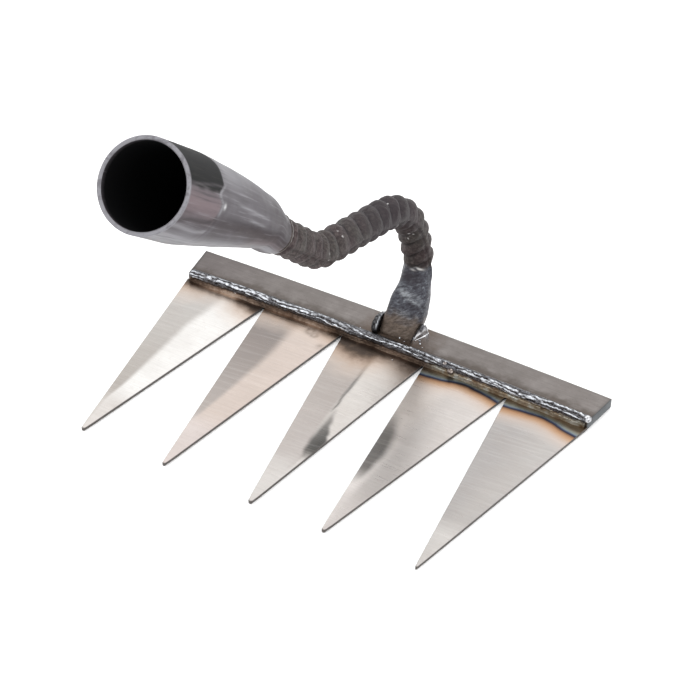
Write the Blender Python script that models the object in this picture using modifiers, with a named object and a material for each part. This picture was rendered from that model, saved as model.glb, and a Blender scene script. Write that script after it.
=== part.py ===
# Head of a weeding rake: five pointed blades welded along a flat bar, and a bent
# ribbed rod that carries the handle socket above them.
# Metres, +Z up. The origin is the middle of the crossbar's underside, +X runs along
# the bar and the blades point along -Y.

import math

import bmesh
import bpy
from mathutils import Matrix, Vector

MM = 0.001

# Sheet blades, and how far each one was cut and set off them by hand, from the -X end
BLADE_THICKNESS = 1.5 * MM
BLADE_PITCH = 43.1 * MM
BLADE_LENGTH = 122.1 * MM
WIDTHS_OFF = [1.3 * MM, -0.3 * MM, 0.9 * MM, 0.3 * MM, -2.2 * MM]
LENGTHS_OFF = [-0.9 * MM, 0.5 * MM, 2.8 * MM, 1.0 * MM, -3.1 * MM]
TIPS_OFF = [-3.5 * MM, -1.5 * MM, 2.0 * MM, -4.1 * MM, -0.4 * MM]
ROW_SHIFT = -0.15 * MM
BLADE_STRAIGHT = 0.6 * MM
BLADE_SIDE_GAP = 0.8 * MM
TIP_WIDTHS = [1.7 * MM, 1.5 * MM, 1.9 * MM, 1.7 * MM, 0.9 * MM]

# Flat bar
BAR_DEPTH = 20.0 * MM
BAR_THICKNESS = 5.0 * MM
BAR_END_INSET = 0.35 * MM
BAR_END_FLARE = 2.1 * MM
BAR_EDGE = 0.35 * MM
BAR_STATIONS = 12

# The welds drew the bar into a shallow arc, ends towards the blade tips
BOW_RADIUS = 3130.0 * MM

# Ribbed rod: its corners lie in one upright plane
ROD_CORE_RADIUS = 6.9 * MM
RIB_HEIGHT = 0.9 * MM
RIB_PITCH = 10.5 * MM
RIB_FIRST = 9.5 * MM
RIB_WIDTH = 4.8 * MM
RIB_SLANT = 3.2 * MM
RIB_STOP = 1.0 * MM
LONG_RIB_HEIGHT = 0.7 * MM
ROD_SIDES = 16
STATIONS_PER_PITCH = 6
ROD_OFFSET = 5.3 * MM
ROD_SETBACK = 2.0 * MM
ROD_TURN = math.radians(5.6)
RUN_ANGLES = [math.radians(a) for a in (116.0, 68.0, 19.7, 42.0)]
RUN_LENGTHS = [35.6 * MM, 46.6 * MM, 100.8 * MM]
BEND_RADII = [19.0 * MM, 64.0 * MM, 50.0 * MM]
PLUG_RADIUS = 6.8 * MM
PLUG_LENGTH = 20.0 * MM

# Forged foot at the rod's lower end
FOOT_HALF_WIDTH = 9.8 * MM
FOOT_HALF_DEPTH = 5.6 * MM
FOOT_LENGTH = 37.0 * MM
FOOT_HEEL = 16.0 * MM
FOOT_SHIFT = -1.6 * MM
FOOT_SWELL = 1.1 * MM
FOOT_SWAY = 1.1 * MM
FOOT_SQUARENESS = 4.0

# Handle socket: a tube drawn down to a cone over the rod
SOCKET_STANDOFF = 55.2 * MM
SOCKET_TILT = math.radians(-3.1)
SOCKET_RADIUS = 16.4 * MM
SOCKET_WALL = 1.5 * MM
SOCKET_LENGTH = 118.5 * MM
SOCKET_TUBE_LENGTH = 26.0 * MM
SOCKET_NECK_RADIUS = 9.6 * MM
SOCKET_SHOULDER = 9.0 * MM
SOCKET_OFFSET = 2.45 * MM
SOCKET_LIP_WALL = 1.3 * MM
SOCKET_STEPS = 40
RIM_ROUND = 0.4 * MM

# Weld metal
PUDDLE_WAVE = 5.0 * MM
WANDER_WAVE = 11.0 * MM
FOOT_PUDDLE_WAVE = 3.0 * MM
SEAM_TOE_ON_BLADE = 2.6 * MM
SEAM_TOE_ON_BAR = 3.6 * MM
SEAM_CROWN = 1.5 * MM
SEAM_STATION = 3.5 * MM
SEAM_END_INSET = 1.2 * MM
COLLAR_LENGTH = 5.0 * MM
COLLAR_HEIGHT = 1.4 * MM
FOOT_WELD_LEGS = [4.2 * MM, 3.4 * MM]
FOOT_WELD_RISE = 5.0 * MM
FOOT_WELD_LENGTHS = [14.0 * MM, 14.0 * MM]
FOOT_WELD_STATIONS = 9

# Gap kept between pieces that the welds join
CLEARANCE = 0.3 * MM


def clear_scene():
    for obj in list(bpy.data.objects):
        bpy.data.objects.remove(obj, do_unlink=True)


def make_material(name, color, roughness, metallic=1.0):
    material = bpy.data.materials.new(name)
    material.use_nodes = True
    shader = material.node_tree.nodes["Principled BSDF"]
    shader.inputs["Base Color"].default_value = (*color, 1.0)
    shader.inputs["Roughness"].default_value = roughness
    shader.inputs["Metallic"].default_value = metallic
    return material


def new_collection(name):
    collection = bpy.data.collections.new(name)
    bpy.context.scene.collection.children.link(collection)
    return collection


def object_from_bmesh(name, mesh_data, collection, material, smooth_angle=None):
    mesh = bpy.data.meshes.new(name)
    bmesh.ops.recalc_face_normals(mesh_data, faces=mesh_data.faces)
    mesh_data.to_mesh(mesh)
    mesh_data.free()
    if smooth_angle is not None:
        mesh.shade_smooth()
        mesh.set_sharp_from_angle(angle=smooth_angle)
    mesh.materials.append(material)
    obj = bpy.data.objects.new(name, mesh)
    collection.objects.link(obj)
    return obj


def loft(rings):
    """A closed skin over rings that all have the same number of points."""
    mesh_data = bmesh.new()
    rows = [[mesh_data.verts.new(point) for point in ring] for ring in rings]
    count = len(rows[0])
    for lower, upper in zip(rows, rows[1:]):
        for i in range(count):
            j = (i + 1) % count
            mesh_data.faces.new((lower[i], lower[j], upper[j], upper[i]))
    mesh_data.faces.new(rows[0])
    mesh_data.faces.new(rows[-1])
    return mesh_data


# The bowed line of the bar


def bowed(along, across, height=0.0):
    """A point of the bar: along its length, across towards the back, and up."""
    angle = along / BOW_RADIUS
    reach = BOW_RADIUS + across
    return Vector((reach * math.sin(angle), reach * math.cos(angle) - BOW_RADIUS, height))


def blade_widths():
    return [BLADE_PITCH + off for off in WIDTHS_OFF]


def blade_bounds():
    """The two ends of each blade's base along the bar."""
    start = ROW_SHIFT - sum(blade_widths()) / 2
    bounds = []
    for width in blade_widths():
        bounds.append((start + BLADE_SIDE_GAP / 2, start + width - BLADE_SIDE_GAP / 2))
        start += width
    return bounds


def bar_half_length(across):
    """Half the bar's length at this distance from its middle line, as its ends flare."""
    front_half = sum(blade_widths()) / 2 - BAR_END_INSET
    return front_half + BAR_END_FLARE * (across + BAR_DEPTH / 2) / BAR_DEPTH


# The rod's route


def heading(angle):
    return Vector((math.cos(angle), math.sin(angle)))


def rod_corners():
    """Where the rod's straight runs would meet, from the foot up."""
    corners = [Vector((0.0, BAR_THICKNESS + CLEARANCE))]
    for length, angle in zip(RUN_LENGTHS, RUN_ANGLES):
        corners.append(corners[-1] + heading(angle) * length)
    return corners


def rod_route():
    """Start, angle, length and turn of each line and arc of the rod's centre line."""
    corners = rod_corners()
    pieces = []
    at = corners[0]
    for i, radius in enumerate(BEND_RADII):
        turn = RUN_ANGLES[i + 1] - RUN_ANGLES[i]
        tangent = radius * math.tan(abs(turn) / 2)
        straight = (corners[i + 1] - at).length - tangent
        pieces.append((at, RUN_ANGLES[i], straight, 0.0))
        at = at + heading(RUN_ANGLES[i]) * straight
        pieces.append((at, RUN_ANGLES[i], radius * abs(turn), turn))
        at = corners[i + 1] + heading(RUN_ANGLES[i + 1]) * tangent
    last = SOCKET_STANDOFF - (at - corners[-1]).length + PLUG_LENGTH
    pieces.append((at, RUN_ANGLES[-1], last, 0.0))
    return pieces


def rod_at(pieces, distance):
    """Centre and heading angle at this distance along the rod."""
    index = 0
    while index < len(pieces) - 1 and distance > pieces[index][2]:
        distance -= pieces[index][2]
        index += 1
    start, angle, length, turn = pieces[index]
    if turn == 0.0:
        return start + heading(angle) * distance, angle
    radius = length / abs(turn)
    side = math.copysign(1.0, turn)
    centre = start + Vector((-math.sin(angle), math.cos(angle))) * radius * side
    now = angle + turn * distance / length
    return centre - Vector((-math.sin(now), math.cos(now))) * radius * side, now


def rod_plane():
    """Axes of the rod's plane: towards the blades, up, and square to the plane."""
    forward = Vector((math.sin(ROD_TURN), -math.cos(ROD_TURN), 0.0))
    side = Vector((math.cos(ROD_TURN), math.sin(ROD_TURN), 0.0))
    return forward, Vector((0.0, 0.0, 1.0)), side


def in_rod_plane(point, beside=0.0):
    forward, up, side = rod_plane()
    foot = Vector((ROD_OFFSET, ROD_SETBACK, 0.0))
    return foot + forward * point.x + up * point.y + side * beside


def rib_profile(distance):
    """Height of one rib across its width, 1 on its flat crest and 0 beside it."""
    nearness = 1.0 - distance / (RIB_WIDTH / 2)
    return max(0.0, min(1.0, nearness * 1.6))


def rod_radius(distance, around):
    """Radius of the ribbed rod. The long ribs lie square to the bends."""
    across = math.sin(around)
    crescent = math.sqrt(abs(across))
    half_shift = 0.0 if across > 0 else RIB_PITCH / 2
    slant = RIB_SLANT * math.cos(around)
    phase = (distance - RIB_FIRST + half_shift + slant) % RIB_PITCH
    phase = min(phase, RIB_PITCH - phase)
    radius = ROD_CORE_RADIUS + RIB_HEIGHT * crescent * rib_profile(phase)
    if abs(math.cos(around)) > math.cos(math.pi / ROD_SIDES):
        radius = ROD_CORE_RADIUS + LONG_RIB_HEIGHT
    return radius


def squared(around, half_side, half_thick, squareness):
    """A point of a rounded rectangle, which is an ellipse at squareness 2."""
    c, s = math.cos(around), math.sin(around)
    power = 2.0 / squareness
    return (
        math.copysign(abs(c) ** power, c) * half_side,
        math.copysign(abs(s) ** power, s) * half_thick,
    )


def foot_shape(distance, radius):
    """Sideways shift, half width, half depth and squareness of the foot at this distance."""
    share = min(1.0, distance / FOOT_LENGTH)
    blend = share * share * (3.0 - 2.0 * share)
    bulge = math.sin(math.pi * share)
    shift = FOOT_SHIFT * (1.0 - blend) + FOOT_SWAY * bulge
    half_side = FOOT_HALF_WIDTH + (radius - FOOT_HALF_WIDTH) * blend + FOOT_SWELL * bulge
    half_thick = FOOT_HALF_DEPTH + (radius - FOOT_HALF_DEPTH) * blend
    squareness = FOOT_SQUARENESS + (2.0 - FOOT_SQUARENESS) * blend
    return shift, half_side, half_thick, squareness


def rod_section(distance, plain_from):
    """Offsets of the rod's section: beside the plane, and square to the heading."""
    offsets = []
    shift, half_side, half_thick, squareness = foot_shape(distance, ROD_CORE_RADIUS)
    for i in range(ROD_SIDES):
        around = 2.0 * math.pi * i / ROD_SIDES
        if distance < FOOT_LENGTH:
            beside, thick = squared(around, half_side, half_thick, squareness)
            offsets.append((beside + shift, thick))
            continue
        radius = PLUG_RADIUS if distance > plain_from else rod_radius(distance, around)
        offsets.append((math.cos(around) * radius, math.sin(around) * radius))
    return offsets


def build_rod(collection, material):
    route = rod_route()
    total = sum(length for _, _, length, _ in route)
    step = RIB_PITCH / STATIONS_PER_PITCH
    stations = [step * i for i in range(int(total / step))]
    plain_from = total - PLUG_LENGTH - COLLAR_LENGTH - RIB_STOP
    stations = [s for s in stations if abs(s - plain_from) > step / 2]
    stations += [plain_from, plain_from + CLEARANCE, total]
    rings = []
    for distance in sorted(stations):
        centre, angle = rod_at(route, distance)
        lean = (angle - math.pi / 2) * min(1.0, distance / FOOT_HEEL)
        normal = Vector((-math.cos(lean), -math.sin(lean)))
        section = rod_section(distance, plain_from)
        rings.append([in_rod_plane(centre + normal * thick, beside) for beside, thick in section])
    return object_from_bmesh("gooseneck", loft(rings), collection, material, math.radians(40))


# The handle socket and its collar


def socket_frame():
    """Matrix from the socket's own axis, +Z out of its mouth from the narrow end."""
    start = rod_corners()[-1] + heading(RUN_ANGLES[-1]) * SOCKET_STANDOFF
    axis = heading(RUN_ANGLES[-1] + SOCKET_TILT)
    above = Vector((-axis.y, axis.x))
    origin = in_rod_plane(start + above * SOCKET_OFFSET)
    out = in_rod_plane(start + axis) - in_rod_plane(start)
    up = in_rod_plane(start + above) - in_rod_plane(start)
    side = up.cross(out)
    turned = Matrix((side, up, out)).transposed().to_4x4()
    return Matrix.Translation(origin) @ turned


def turned_piece(name, profile, steps, collection, material):
    """A profile at +X, running down its outer side, spun about +Z by a Screw."""
    mesh = bpy.data.meshes.new(name)
    points = [(radius, 0.0, height) for radius, height in profile]
    edges = [(i, (i + 1) % len(points)) for i in range(len(points))]
    mesh.from_pydata(points, edges, [])
    mesh.materials.append(material)
    obj = bpy.data.objects.new(name, mesh)
    collection.objects.link(obj)
    screw = obj.modifiers.new("Turn", "SCREW")
    screw.angle = 2.0 * math.pi
    screw.steps = steps
    screw.render_steps = steps
    screw.use_merge_vertices = True
    screw.merge_threshold = 0.00001
    screw.use_smooth_shade = False
    return obj


def socket_profile():
    """Outer side from the mouth down, then the bore back up."""
    bore_at_neck = PLUG_RADIUS + CLEARANCE
    lip_radius = bore_at_neck + SOCKET_LIP_WALL
    cone_top = SOCKET_LENGTH - SOCKET_TUBE_LENGTH
    inner = SOCKET_RADIUS - SOCKET_WALL
    outer_side = [
        (SOCKET_RADIUS - RIM_ROUND, SOCKET_LENGTH),
        (SOCKET_RADIUS, SOCKET_LENGTH - RIM_ROUND),
        (SOCKET_RADIUS, cone_top + RIM_ROUND),
        (SOCKET_RADIUS - RIM_ROUND / 2, cone_top - RIM_ROUND),
        (SOCKET_NECK_RADIUS, SOCKET_SHOULDER),
        ((SOCKET_NECK_RADIUS * 2 + lip_radius) / 3, SOCKET_SHOULDER / 3),
        (lip_radius, 0.0),
    ]
    bore = [
        (bore_at_neck, 0.0),
        (SOCKET_NECK_RADIUS - SOCKET_WALL, SOCKET_SHOULDER),
        (inner, cone_top),
        (inner, SOCKET_LENGTH - RIM_ROUND),
        (inner + RIM_ROUND, SOCKET_LENGTH),
    ]
    return outer_side + bore


def drifted(obj, reach, shift):
    """Moves the narrow end sideways onto the rod that it was closed over."""
    graph = bpy.context.evaluated_depsgraph_get()
    mesh = bpy.data.meshes.new_from_object(obj.evaluated_get(graph))
    obj.modifiers.clear()
    for vertex in mesh.vertices:
        share = max(0.0, min(1.0, 1.0 - vertex.co.z / reach))
        vertex.co.y -= shift * share * share * (3.0 - 2.0 * share)
    obj.data = mesh
    mesh.shade_smooth()
    mesh.set_sharp_from_angle(angle=math.radians(30))
    return obj


def build_socket(collection, material):
    obj = turned_piece("handle_socket", socket_profile(), SOCKET_STEPS, collection, material)
    drifted(obj, SOCKET_SHOULDER * 2, SOCKET_OFFSET)
    obj.matrix_world = socket_frame()
    return obj


def build_collar(collection, material):
    """Weld ring that closes the socket's narrow end onto the rod."""
    bore = PLUG_RADIUS + CLEARANCE
    crest = bore + COLLAR_HEIGHT
    profile = [
        (bore + COLLAR_HEIGHT / 2, -CLEARANCE),
        (crest, -CLEARANCE - COLLAR_LENGTH * 0.2),
        (crest - COLLAR_HEIGHT * 0.15, -COLLAR_LENGTH * 0.55),
        (bore + COLLAR_HEIGHT * 0.3, -COLLAR_LENGTH * 0.85),
        (bore, -COLLAR_LENGTH),
        (bore, -CLEARANCE),
    ]
    obj = turned_piece("socket_weld", profile, 32, collection, material)
    obj.matrix_world = socket_frame() @ Matrix.Translation((0.0, -SOCKET_OFFSET, 0.0))
    return obj


# Bar and blades


def build_crossbar(collection, material):
    mesh_data = bmesh.new()
    bmesh.ops.create_cube(mesh_data, size=1.0)
    long_edges = [e for e in mesh_data.edges if abs((e.verts[0].co - e.verts[1].co).x) > 0.5]
    bmesh.ops.subdivide_edges(mesh_data, edges=long_edges, cuts=BAR_STATIONS - 1, use_grid_fill=True)
    for vertex in mesh_data.verts:
        across = vertex.co.y * BAR_DEPTH
        along = vertex.co.x * 2.0 * bar_half_length(across)
        height = (vertex.co.z + 0.5) * BAR_THICKNESS
        vertex.co = bowed(along, across, height)
    obj = object_from_bmesh("crossbar", mesh_data, collection, material)
    bevel = obj.modifiers.new("Edges", "BEVEL")
    bevel.width = BAR_EDGE
    bevel.segments = 1
    bevel.limit_method = "ANGLE"
    bevel.angle_limit = math.radians(40)
    return obj


def blade_outline(index, bounds):
    """Base, straight flanks and tapering edges of one blade, in the bar's own lines."""
    left, right = bounds[index]
    base = -BAR_DEPTH / 2 - CLEARANCE
    notch = base - BLADE_STRAIGHT
    length = BLADE_LENGTH + LENGTHS_OFF[index]
    middle = (left + right) / 2
    half = (right - left) / 2
    point = middle + TIPS_OFF[index]
    tip_width = TIP_WIDTHS[index]
    cut = tip_width / (2.0 * half)
    tip_across = notch - length * (1.0 - cut)
    outline = []
    for end, sign in ((left, -1.0), (right, 1.0)):
        outer = (index == 0 and sign < 0) or (index == len(bounds) - 1 and sign > 0)
        slope = (end - point) / length
        base_end = end + slope * BLADE_STRAIGHT if outer else end
        edge = [(base_end, base), (end, notch), (point + sign * tip_width / 2, tip_across)]
        outline += edge if sign < 0 else edge[::-1]
    centre_angle = middle / BOW_RADIUS
    turned = []
    for along, across in outline:
        local = Vector((along - middle, across, 0.0))
        origin = bowed(middle, 0.0)
        turned.append(origin + Matrix.Rotation(-centre_angle, 3, "Z") @ local)
    return turned


def build_blade(index, bounds, collection, material):
    """Closed outline filled and extruded to the sheet's thickness."""
    curve = bpy.data.curves.new(f"blade_{index + 1}", "CURVE")
    curve.dimensions = "2D"
    curve.fill_mode = "BOTH"
    curve.extrude = BLADE_THICKNESS / 2
    outline = blade_outline(index, bounds)
    spline = curve.splines.new("POLY")
    spline.points.add(len(outline) - 1)
    for point, place in zip(spline.points, outline):
        point.co = (place.x, place.y, 0.0, 1.0)
    spline.use_cyclic_u = True
    curve.materials.append(material)
    obj = bpy.data.objects.new(f"blade_{index + 1}", curve)
    obj.location.z = BLADE_THICKNESS / 2
    collection.objects.link(obj)
    return obj


# Weld beads


def ripple(position, wave, phase=0.0):
    """A slow unevenness between 0.86 and 1.14."""
    return 1.0 + 0.09 * math.sin(position / wave + phase) + 0.05 * math.sin(2.3 * position / wave + 1.1)


def seam_section(position):
    """Bead in the step between blades and bar, from the blade's toe over to the bar's."""
    front = -BAR_DEPTH / 2
    swell = ripple(position, PUDDLE_WAVE)
    wander = ripple(position, WANDER_WAVE, 0.8)
    toe = front - SEAM_TOE_ON_BLADE * wander
    heel = front + SEAM_TOE_ON_BAR * (2.0 - wander)
    top = BAR_THICKNESS + SEAM_CROWN * swell
    low = BLADE_THICKNESS + CLEARANCE
    shelf = BAR_THICKNESS + CLEARANCE
    step = front - CLEARANCE
    return [
        (toe, low),
        (step, low),
        (step, shelf),
        (heel, shelf),
        (heel - SEAM_TOE_ON_BAR * 0.25, shelf + (top - shelf) * 0.75),
        (front + SEAM_TOE_ON_BAR * 0.2, top),
        (front - SEAM_TOE_ON_BLADE * 0.35, top - SEAM_CROWN * 0.35),
        (toe + SEAM_TOE_ON_BLADE * 0.15, low + (top - low) * 0.45),
    ]


def build_seam(collection, material):
    half = bar_half_length(-BAR_DEPTH / 2) - SEAM_END_INSET
    count = int(2.0 * half / SEAM_STATION)
    rings = []
    for i in range(count + 1):
        along = -half + 2.0 * half * i / count
        rings.append([bowed(along, across, height) for across, height in seam_section(along)])
    return object_from_bmesh("seam_weld", loft(rings), collection, material, math.radians(50))


def foot_side(height, sign):
    """How far the foot reaches to this side at this height above the bar."""
    shift, half_side, _, _ = foot_shape(height, ROD_CORE_RADIUS)
    return half_side + sign * shift


def build_foot_weld(name, sign, full_leg, length, collection, material):
    """Fillet between the foot's side and the bar's top, thinning towards its ends."""
    forward, _, side = rod_plane()
    foot = in_rod_plane(Vector((0.0, 0.0)))
    floor = BAR_THICKNESS + CLEARANCE
    rings = []
    for i in range(FOOT_WELD_STATIONS):
        share = i / (FOOT_WELD_STATIONS - 1)
        size = 0.45 + 0.55 * math.sin(math.pi * share) ** 0.5
        size *= ripple(share * length, FOOT_PUDDLE_WAVE, sign)
        leg, rise = full_leg * size, FOOT_WELD_RISE * size
        low_side, high_side = (foot_side(height, sign) + CLEARANCE for height in (0.0, rise))
        centre = foot + forward * (length * (share - 0.5))
        outline = [
            (low_side, 0.0),
            (low_side + leg, 0.0),
            (low_side + leg * 0.8, rise * 0.45),
            (high_side + leg * 0.35, rise * 0.9),
            (high_side, rise),
        ]
        rings.append([centre + side * sign * beside + Vector((0, 0, floor + up)) for beside, up in outline])
    return object_from_bmesh(name, loft(rings), collection, material, math.radians(50))


def main():
    clear_scene()
    parts = new_collection("weeding_rake")
    mill_steel = make_material("mill_steel", (0.26, 0.24, 0.22), 0.5)
    bright_steel = make_material("bright_steel", (0.55, 0.54, 0.53), 0.3)
    tube_steel = make_material("tube_steel", (0.42, 0.40, 0.41), 0.28)
    rod_scale = make_material("rod_scale", (0.07, 0.062, 0.058), 0.6, 0.7)
    weld_metal = make_material("weld_metal", (0.32, 0.32, 0.34), 0.35)

    build_crossbar(parts, mill_steel)
    bounds = blade_bounds()
    for index in range(len(bounds)):
        build_blade(index, bounds, parts, bright_steel)
    build_seam(parts, weld_metal)
    build_rod(parts, rod_scale)
    build_socket(parts, tube_steel)
    build_collar(parts, weld_metal)
    for name, sign, leg, length in zip(
        ("foot_weld_left", "foot_weld_right"), (-1.0, 1.0), FOOT_WELD_LEGS, FOOT_WELD_LENGTHS
    ):
        build_foot_weld(name, sign, leg, length, parts, weld_metal)


main()
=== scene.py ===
import math

import bmesh
import bpy
from mathutils import Matrix, Vector, noise


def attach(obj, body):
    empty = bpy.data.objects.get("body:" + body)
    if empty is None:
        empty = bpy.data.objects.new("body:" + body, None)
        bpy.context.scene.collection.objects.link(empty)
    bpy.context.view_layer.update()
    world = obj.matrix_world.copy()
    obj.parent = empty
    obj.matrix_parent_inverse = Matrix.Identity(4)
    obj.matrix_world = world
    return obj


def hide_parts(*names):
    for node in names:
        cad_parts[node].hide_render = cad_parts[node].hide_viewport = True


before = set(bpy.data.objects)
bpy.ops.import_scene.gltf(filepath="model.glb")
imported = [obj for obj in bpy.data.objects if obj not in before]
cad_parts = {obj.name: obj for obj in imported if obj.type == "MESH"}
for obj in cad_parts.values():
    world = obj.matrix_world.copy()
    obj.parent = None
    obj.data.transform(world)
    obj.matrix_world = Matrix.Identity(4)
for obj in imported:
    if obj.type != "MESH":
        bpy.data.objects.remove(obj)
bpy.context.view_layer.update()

# Shapes are worked out in millimetres and made metres in makePiece; the stage is in metres
mm = 0.001
print("weeding rake: frame loaded, nodes", len(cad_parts))


# Small helpers for shapes


def smoothStep(low, high, value):
    share = max(0.0, min(1.0, (value - low) / (high - low)))
    return share * share * (3.0 - 2.0 * share)


def fadeOut(low, high, value):
    return 1.0 - smoothStep(low, high, value)


def blend(first, second, share):
    return first + (second - first) * share


def follow(knots, at):
    # smooth course through (position, value) knots
    if at <= knots[0][0]:
        return knots[0][1]
    for (start, first), (end, second) in zip(knots, knots[1:]):
        if at <= end:
            return blend(first, second, smoothStep(start, end, at))
    return knots[-1][1]


def glide(knots, at):
    # the same, but without a level stretch at each knot
    at = max(knots[0][0], min(knots[-1][0], at))
    index = max(i for i in range(len(knots) - 1) if knots[i][0] <= at)
    (start, first), (end, second) = knots[index], knots[index + 1]
    width = end - start
    slopes = []
    for low, high in ((max(0, index - 1), index + 1), (index, min(len(knots) - 1, index + 2))):
        slopes.append((knots[high][1] - knots[low][1]) / (knots[high][0] - knots[low][0]) * width)
    share = (at - start) / width
    square, cube = share * share, share ** 3
    parts = (2 * cube - 3 * square + 1, cube - 2 * square + share, 3 * square - 2 * cube, cube - square)
    return parts[0] * first + parts[1] * slopes[0] + parts[2] * second + parts[3] * slopes[1]


def grain(x, y, z, size, seed=0.0):
    # soft noise between -1 and 1, with features of about this size
    return noise.noise(Vector((x / size + seed, y / size - seed, z / size + 2.0 * seed)))


def hill(value, width):
    return math.exp(-(value / width) ** 2)


def tubeGrid(rings, sides):
    # a capped tube with even rings, ready to be bent into shape
    shape = bmesh.new()
    bmesh.ops.create_cone(shape, cap_ends=True, segments=sides, radius1=1.0, radius2=1.0, depth=1.0)
    tall = [edge for edge in shape.edges if abs(edge.verts[0].co.z - edge.verts[1].co.z) > 0.5]
    bmesh.ops.subdivide_edges(shape, edges=tall, cuts=rings - 2, use_grid_fill=True)
    shape.verts.index_update()
    return shape


def spunShape(corners, cuts, steps):
    # a closed outline of (radius, height) corners, its sides cut up, spun round the z axis
    shape = bmesh.new()
    ring = [shape.verts.new((radius, 0.0, height)) for radius, height in corners]
    outline = [shape.edges.new((first, second)) for first, second in zip(ring, ring[1:] + ring[:1])]
    for edge, count in zip(outline, cuts):
        bmesh.ops.subdivide_edges(shape, edges=[edge], cuts=count)
    bmesh.ops.spin(
        shape, geom=shape.verts[:] + shape.edges[:], cent=(0, 0, 0), axis=(0, 0, 1),
        angle=2.0 * math.pi, steps=steps, use_merge=True,
    )
    bmesh.ops.remove_doubles(shape, verts=shape.verts, dist=0.0005)
    bmesh.ops.recalc_face_normals(shape, faces=shape.faces)
    shape.verts.index_update()
    return shape


def slotAround(vertex, sides):
    # which line along a tube grid this vertex is on
    return round(math.atan2(vertex.co.y, vertex.co.x) / (2.0 * math.pi) * sides) % sides


def grainAround(around, along, radius, size, seed):
    # noise on a round skin of this radius
    return grain(math.cos(around) * radius, math.sin(around) * radius, along, size, seed)


def writeMarks(shape, marks):
    # marks: {vertex index: {attribute: value}}, kept as float attributes, 0 where there is none
    names = dict.fromkeys(name for here in marks.values() for name in here)
    layers = {name: shape.verts.layers.float.new(name) for name in names}
    for vertex in shape.verts:
        for name, layer in layers.items():
            vertex[layer] = marks[vertex.index].get(name, 0.0)


def makePiece(name, shape, marks, material, nodes, sharpAngle, turn=True):
    # one finished object from a shape; nodes are the solids that it stands for
    writeMarks(shape, marks)
    if turn:
        bmesh.ops.recalc_face_normals(shape, faces=shape.faces)
    bmesh.ops.scale(shape, vec=(mm, mm, mm), verts=shape.verts)
    mesh = bpy.data.meshes.new(name)
    shape.to_mesh(mesh)
    shape.free()
    mesh.shade_smooth()
    mesh.set_sharp_from_angle(angle=math.radians(sharpAngle))
    mesh.materials.append(material)
    piece = bpy.data.objects.new(name, mesh)
    bpy.context.scene.collection.objects.link(piece)
    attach(piece, "root")
    if nodes:
        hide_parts(*nodes)
    return piece


# Small helpers for materials

studio = {"shade": 0.74, "sky": 1.6, "lamps": 0.4}


def tone(red, green, blue, alpha=1.0):
    # a colour as it looks on screen, made linear, and darker by as much as the studio is bright
    linear = [((part / 255.0 + 0.055) / 1.055) ** 2.4 for part in (red, green, blue)]
    return (*[part * studio["shade"] for part in linear], alpha)


def startMaterial(name, roughness, metallic=1.0):
    material = bpy.data.materials.new(name)
    material.use_nodes = True
    shader = material.node_tree.nodes["Principled BSDF"]
    shader.inputs["Roughness"].default_value = roughness
    shader.inputs["Metallic"].default_value = metallic
    return material, material.node_tree, shader


def addNode(tree, kind, inputs, **settings):
    node = tree.nodes.new("ShaderNode" + kind)
    for name, value in settings.items():
        setattr(node, name, value)
    for name, value in inputs.items():
        if isinstance(value, bpy.types.NodeSocket):
            tree.links.new(value, node.inputs[name])
        else:
            node.inputs[name].default_value = value
    return node


def mark(tree, name, factor=1.0):
    value = addNode(tree, "Attribute", {}, attribute_name=name).outputs["Fac"]
    return value if factor == 1.0 else calc(tree, "MULTIPLY", value, factor)


def place(tree, scale=(1.0, 1.0, 1.0), turn=(0.0, 0.0, 0.0)):
    # object coordinates in millimetres, turned and then stretched
    coordinates = addNode(tree, "TexCoord", {}).outputs["Object"]
    turned = addNode(tree, "Mapping", {"Vector": coordinates, "Rotation": turn}).outputs["Vector"]
    stretch = [1000.0 * factor for factor in scale]
    return addNode(tree, "Mapping", {"Vector": turned, "Scale": stretch}).outputs["Vector"]


def speckle(tree, vector, size, detail=3.0, roughness=0.55, distortion=0.0):
    # noise with features of about this size in millimetres
    inputs = {"Vector": vector, "Scale": 1.0 / size, "Detail": detail}
    inputs.update({"Roughness": roughness, "Distortion": distortion})
    return addNode(tree, "TexNoise", inputs).outputs["Fac"]


def calc(tree, operation, first, second):
    return addNode(tree, "Math", {0: first, 1: second}, operation=operation).outputs[0]


def span(tree, value, low, high, newLow=0.0, newHigh=1.0):
    inputs = {"Value": value, "From Min": low, "From Max": high, "To Min": newLow, "To Max": newHigh}
    return addNode(tree, "MapRange", inputs, interpolation_type="SMOOTHSTEP").outputs["Result"]


def mixTone(tree, share, first, second):
    inputs = {0: share, 6: first, 7: second}
    return addNode(tree, "Mix", inputs, data_type="RGBA").outputs[2]


def ramp(tree, value, stops):
    # stops: (position, colour) pairs; gives the colour and the alpha
    node = addNode(tree, "ValToRGB", {"Fac": value})
    elements = node.color_ramp.elements
    while len(elements) < len(stops):
        elements.new(1.0)
    for element, (position, colour) in zip(elements, stops):
        element.position = position
    for element, (position, colour) in zip(elements, stops):
        element.color = colour
    return node.outputs["Color"], node.outputs["Alpha"]


def toneRamp(tree, value, *stops):
    # stops: (position, red, green, blue), with an alpha where it isn't 1
    return ramp(tree, value, [(stop[0], tone(*stop[1:])) for stop in stops])


def paint(tree, base, *layers):
    # lays (share, colour) over the base in turn; a share is a mark's name, what span takes, or a socket
    for share, colour in layers:
        if isinstance(share, str):
            share = mark(tree, share)
        elif isinstance(share, tuple):
            share = span(tree, *share)
        base = mixTone(tree, share, base, tone(*colour))
    return base


def bump(tree, height, strength, distance, under=None):
    inputs = {"Height": height, "Strength": strength, "Distance": distance * mm}
    if under is not None:
        inputs["Normal"] = under
    return addNode(tree, "Bump", inputs).outputs["Normal"]


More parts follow.
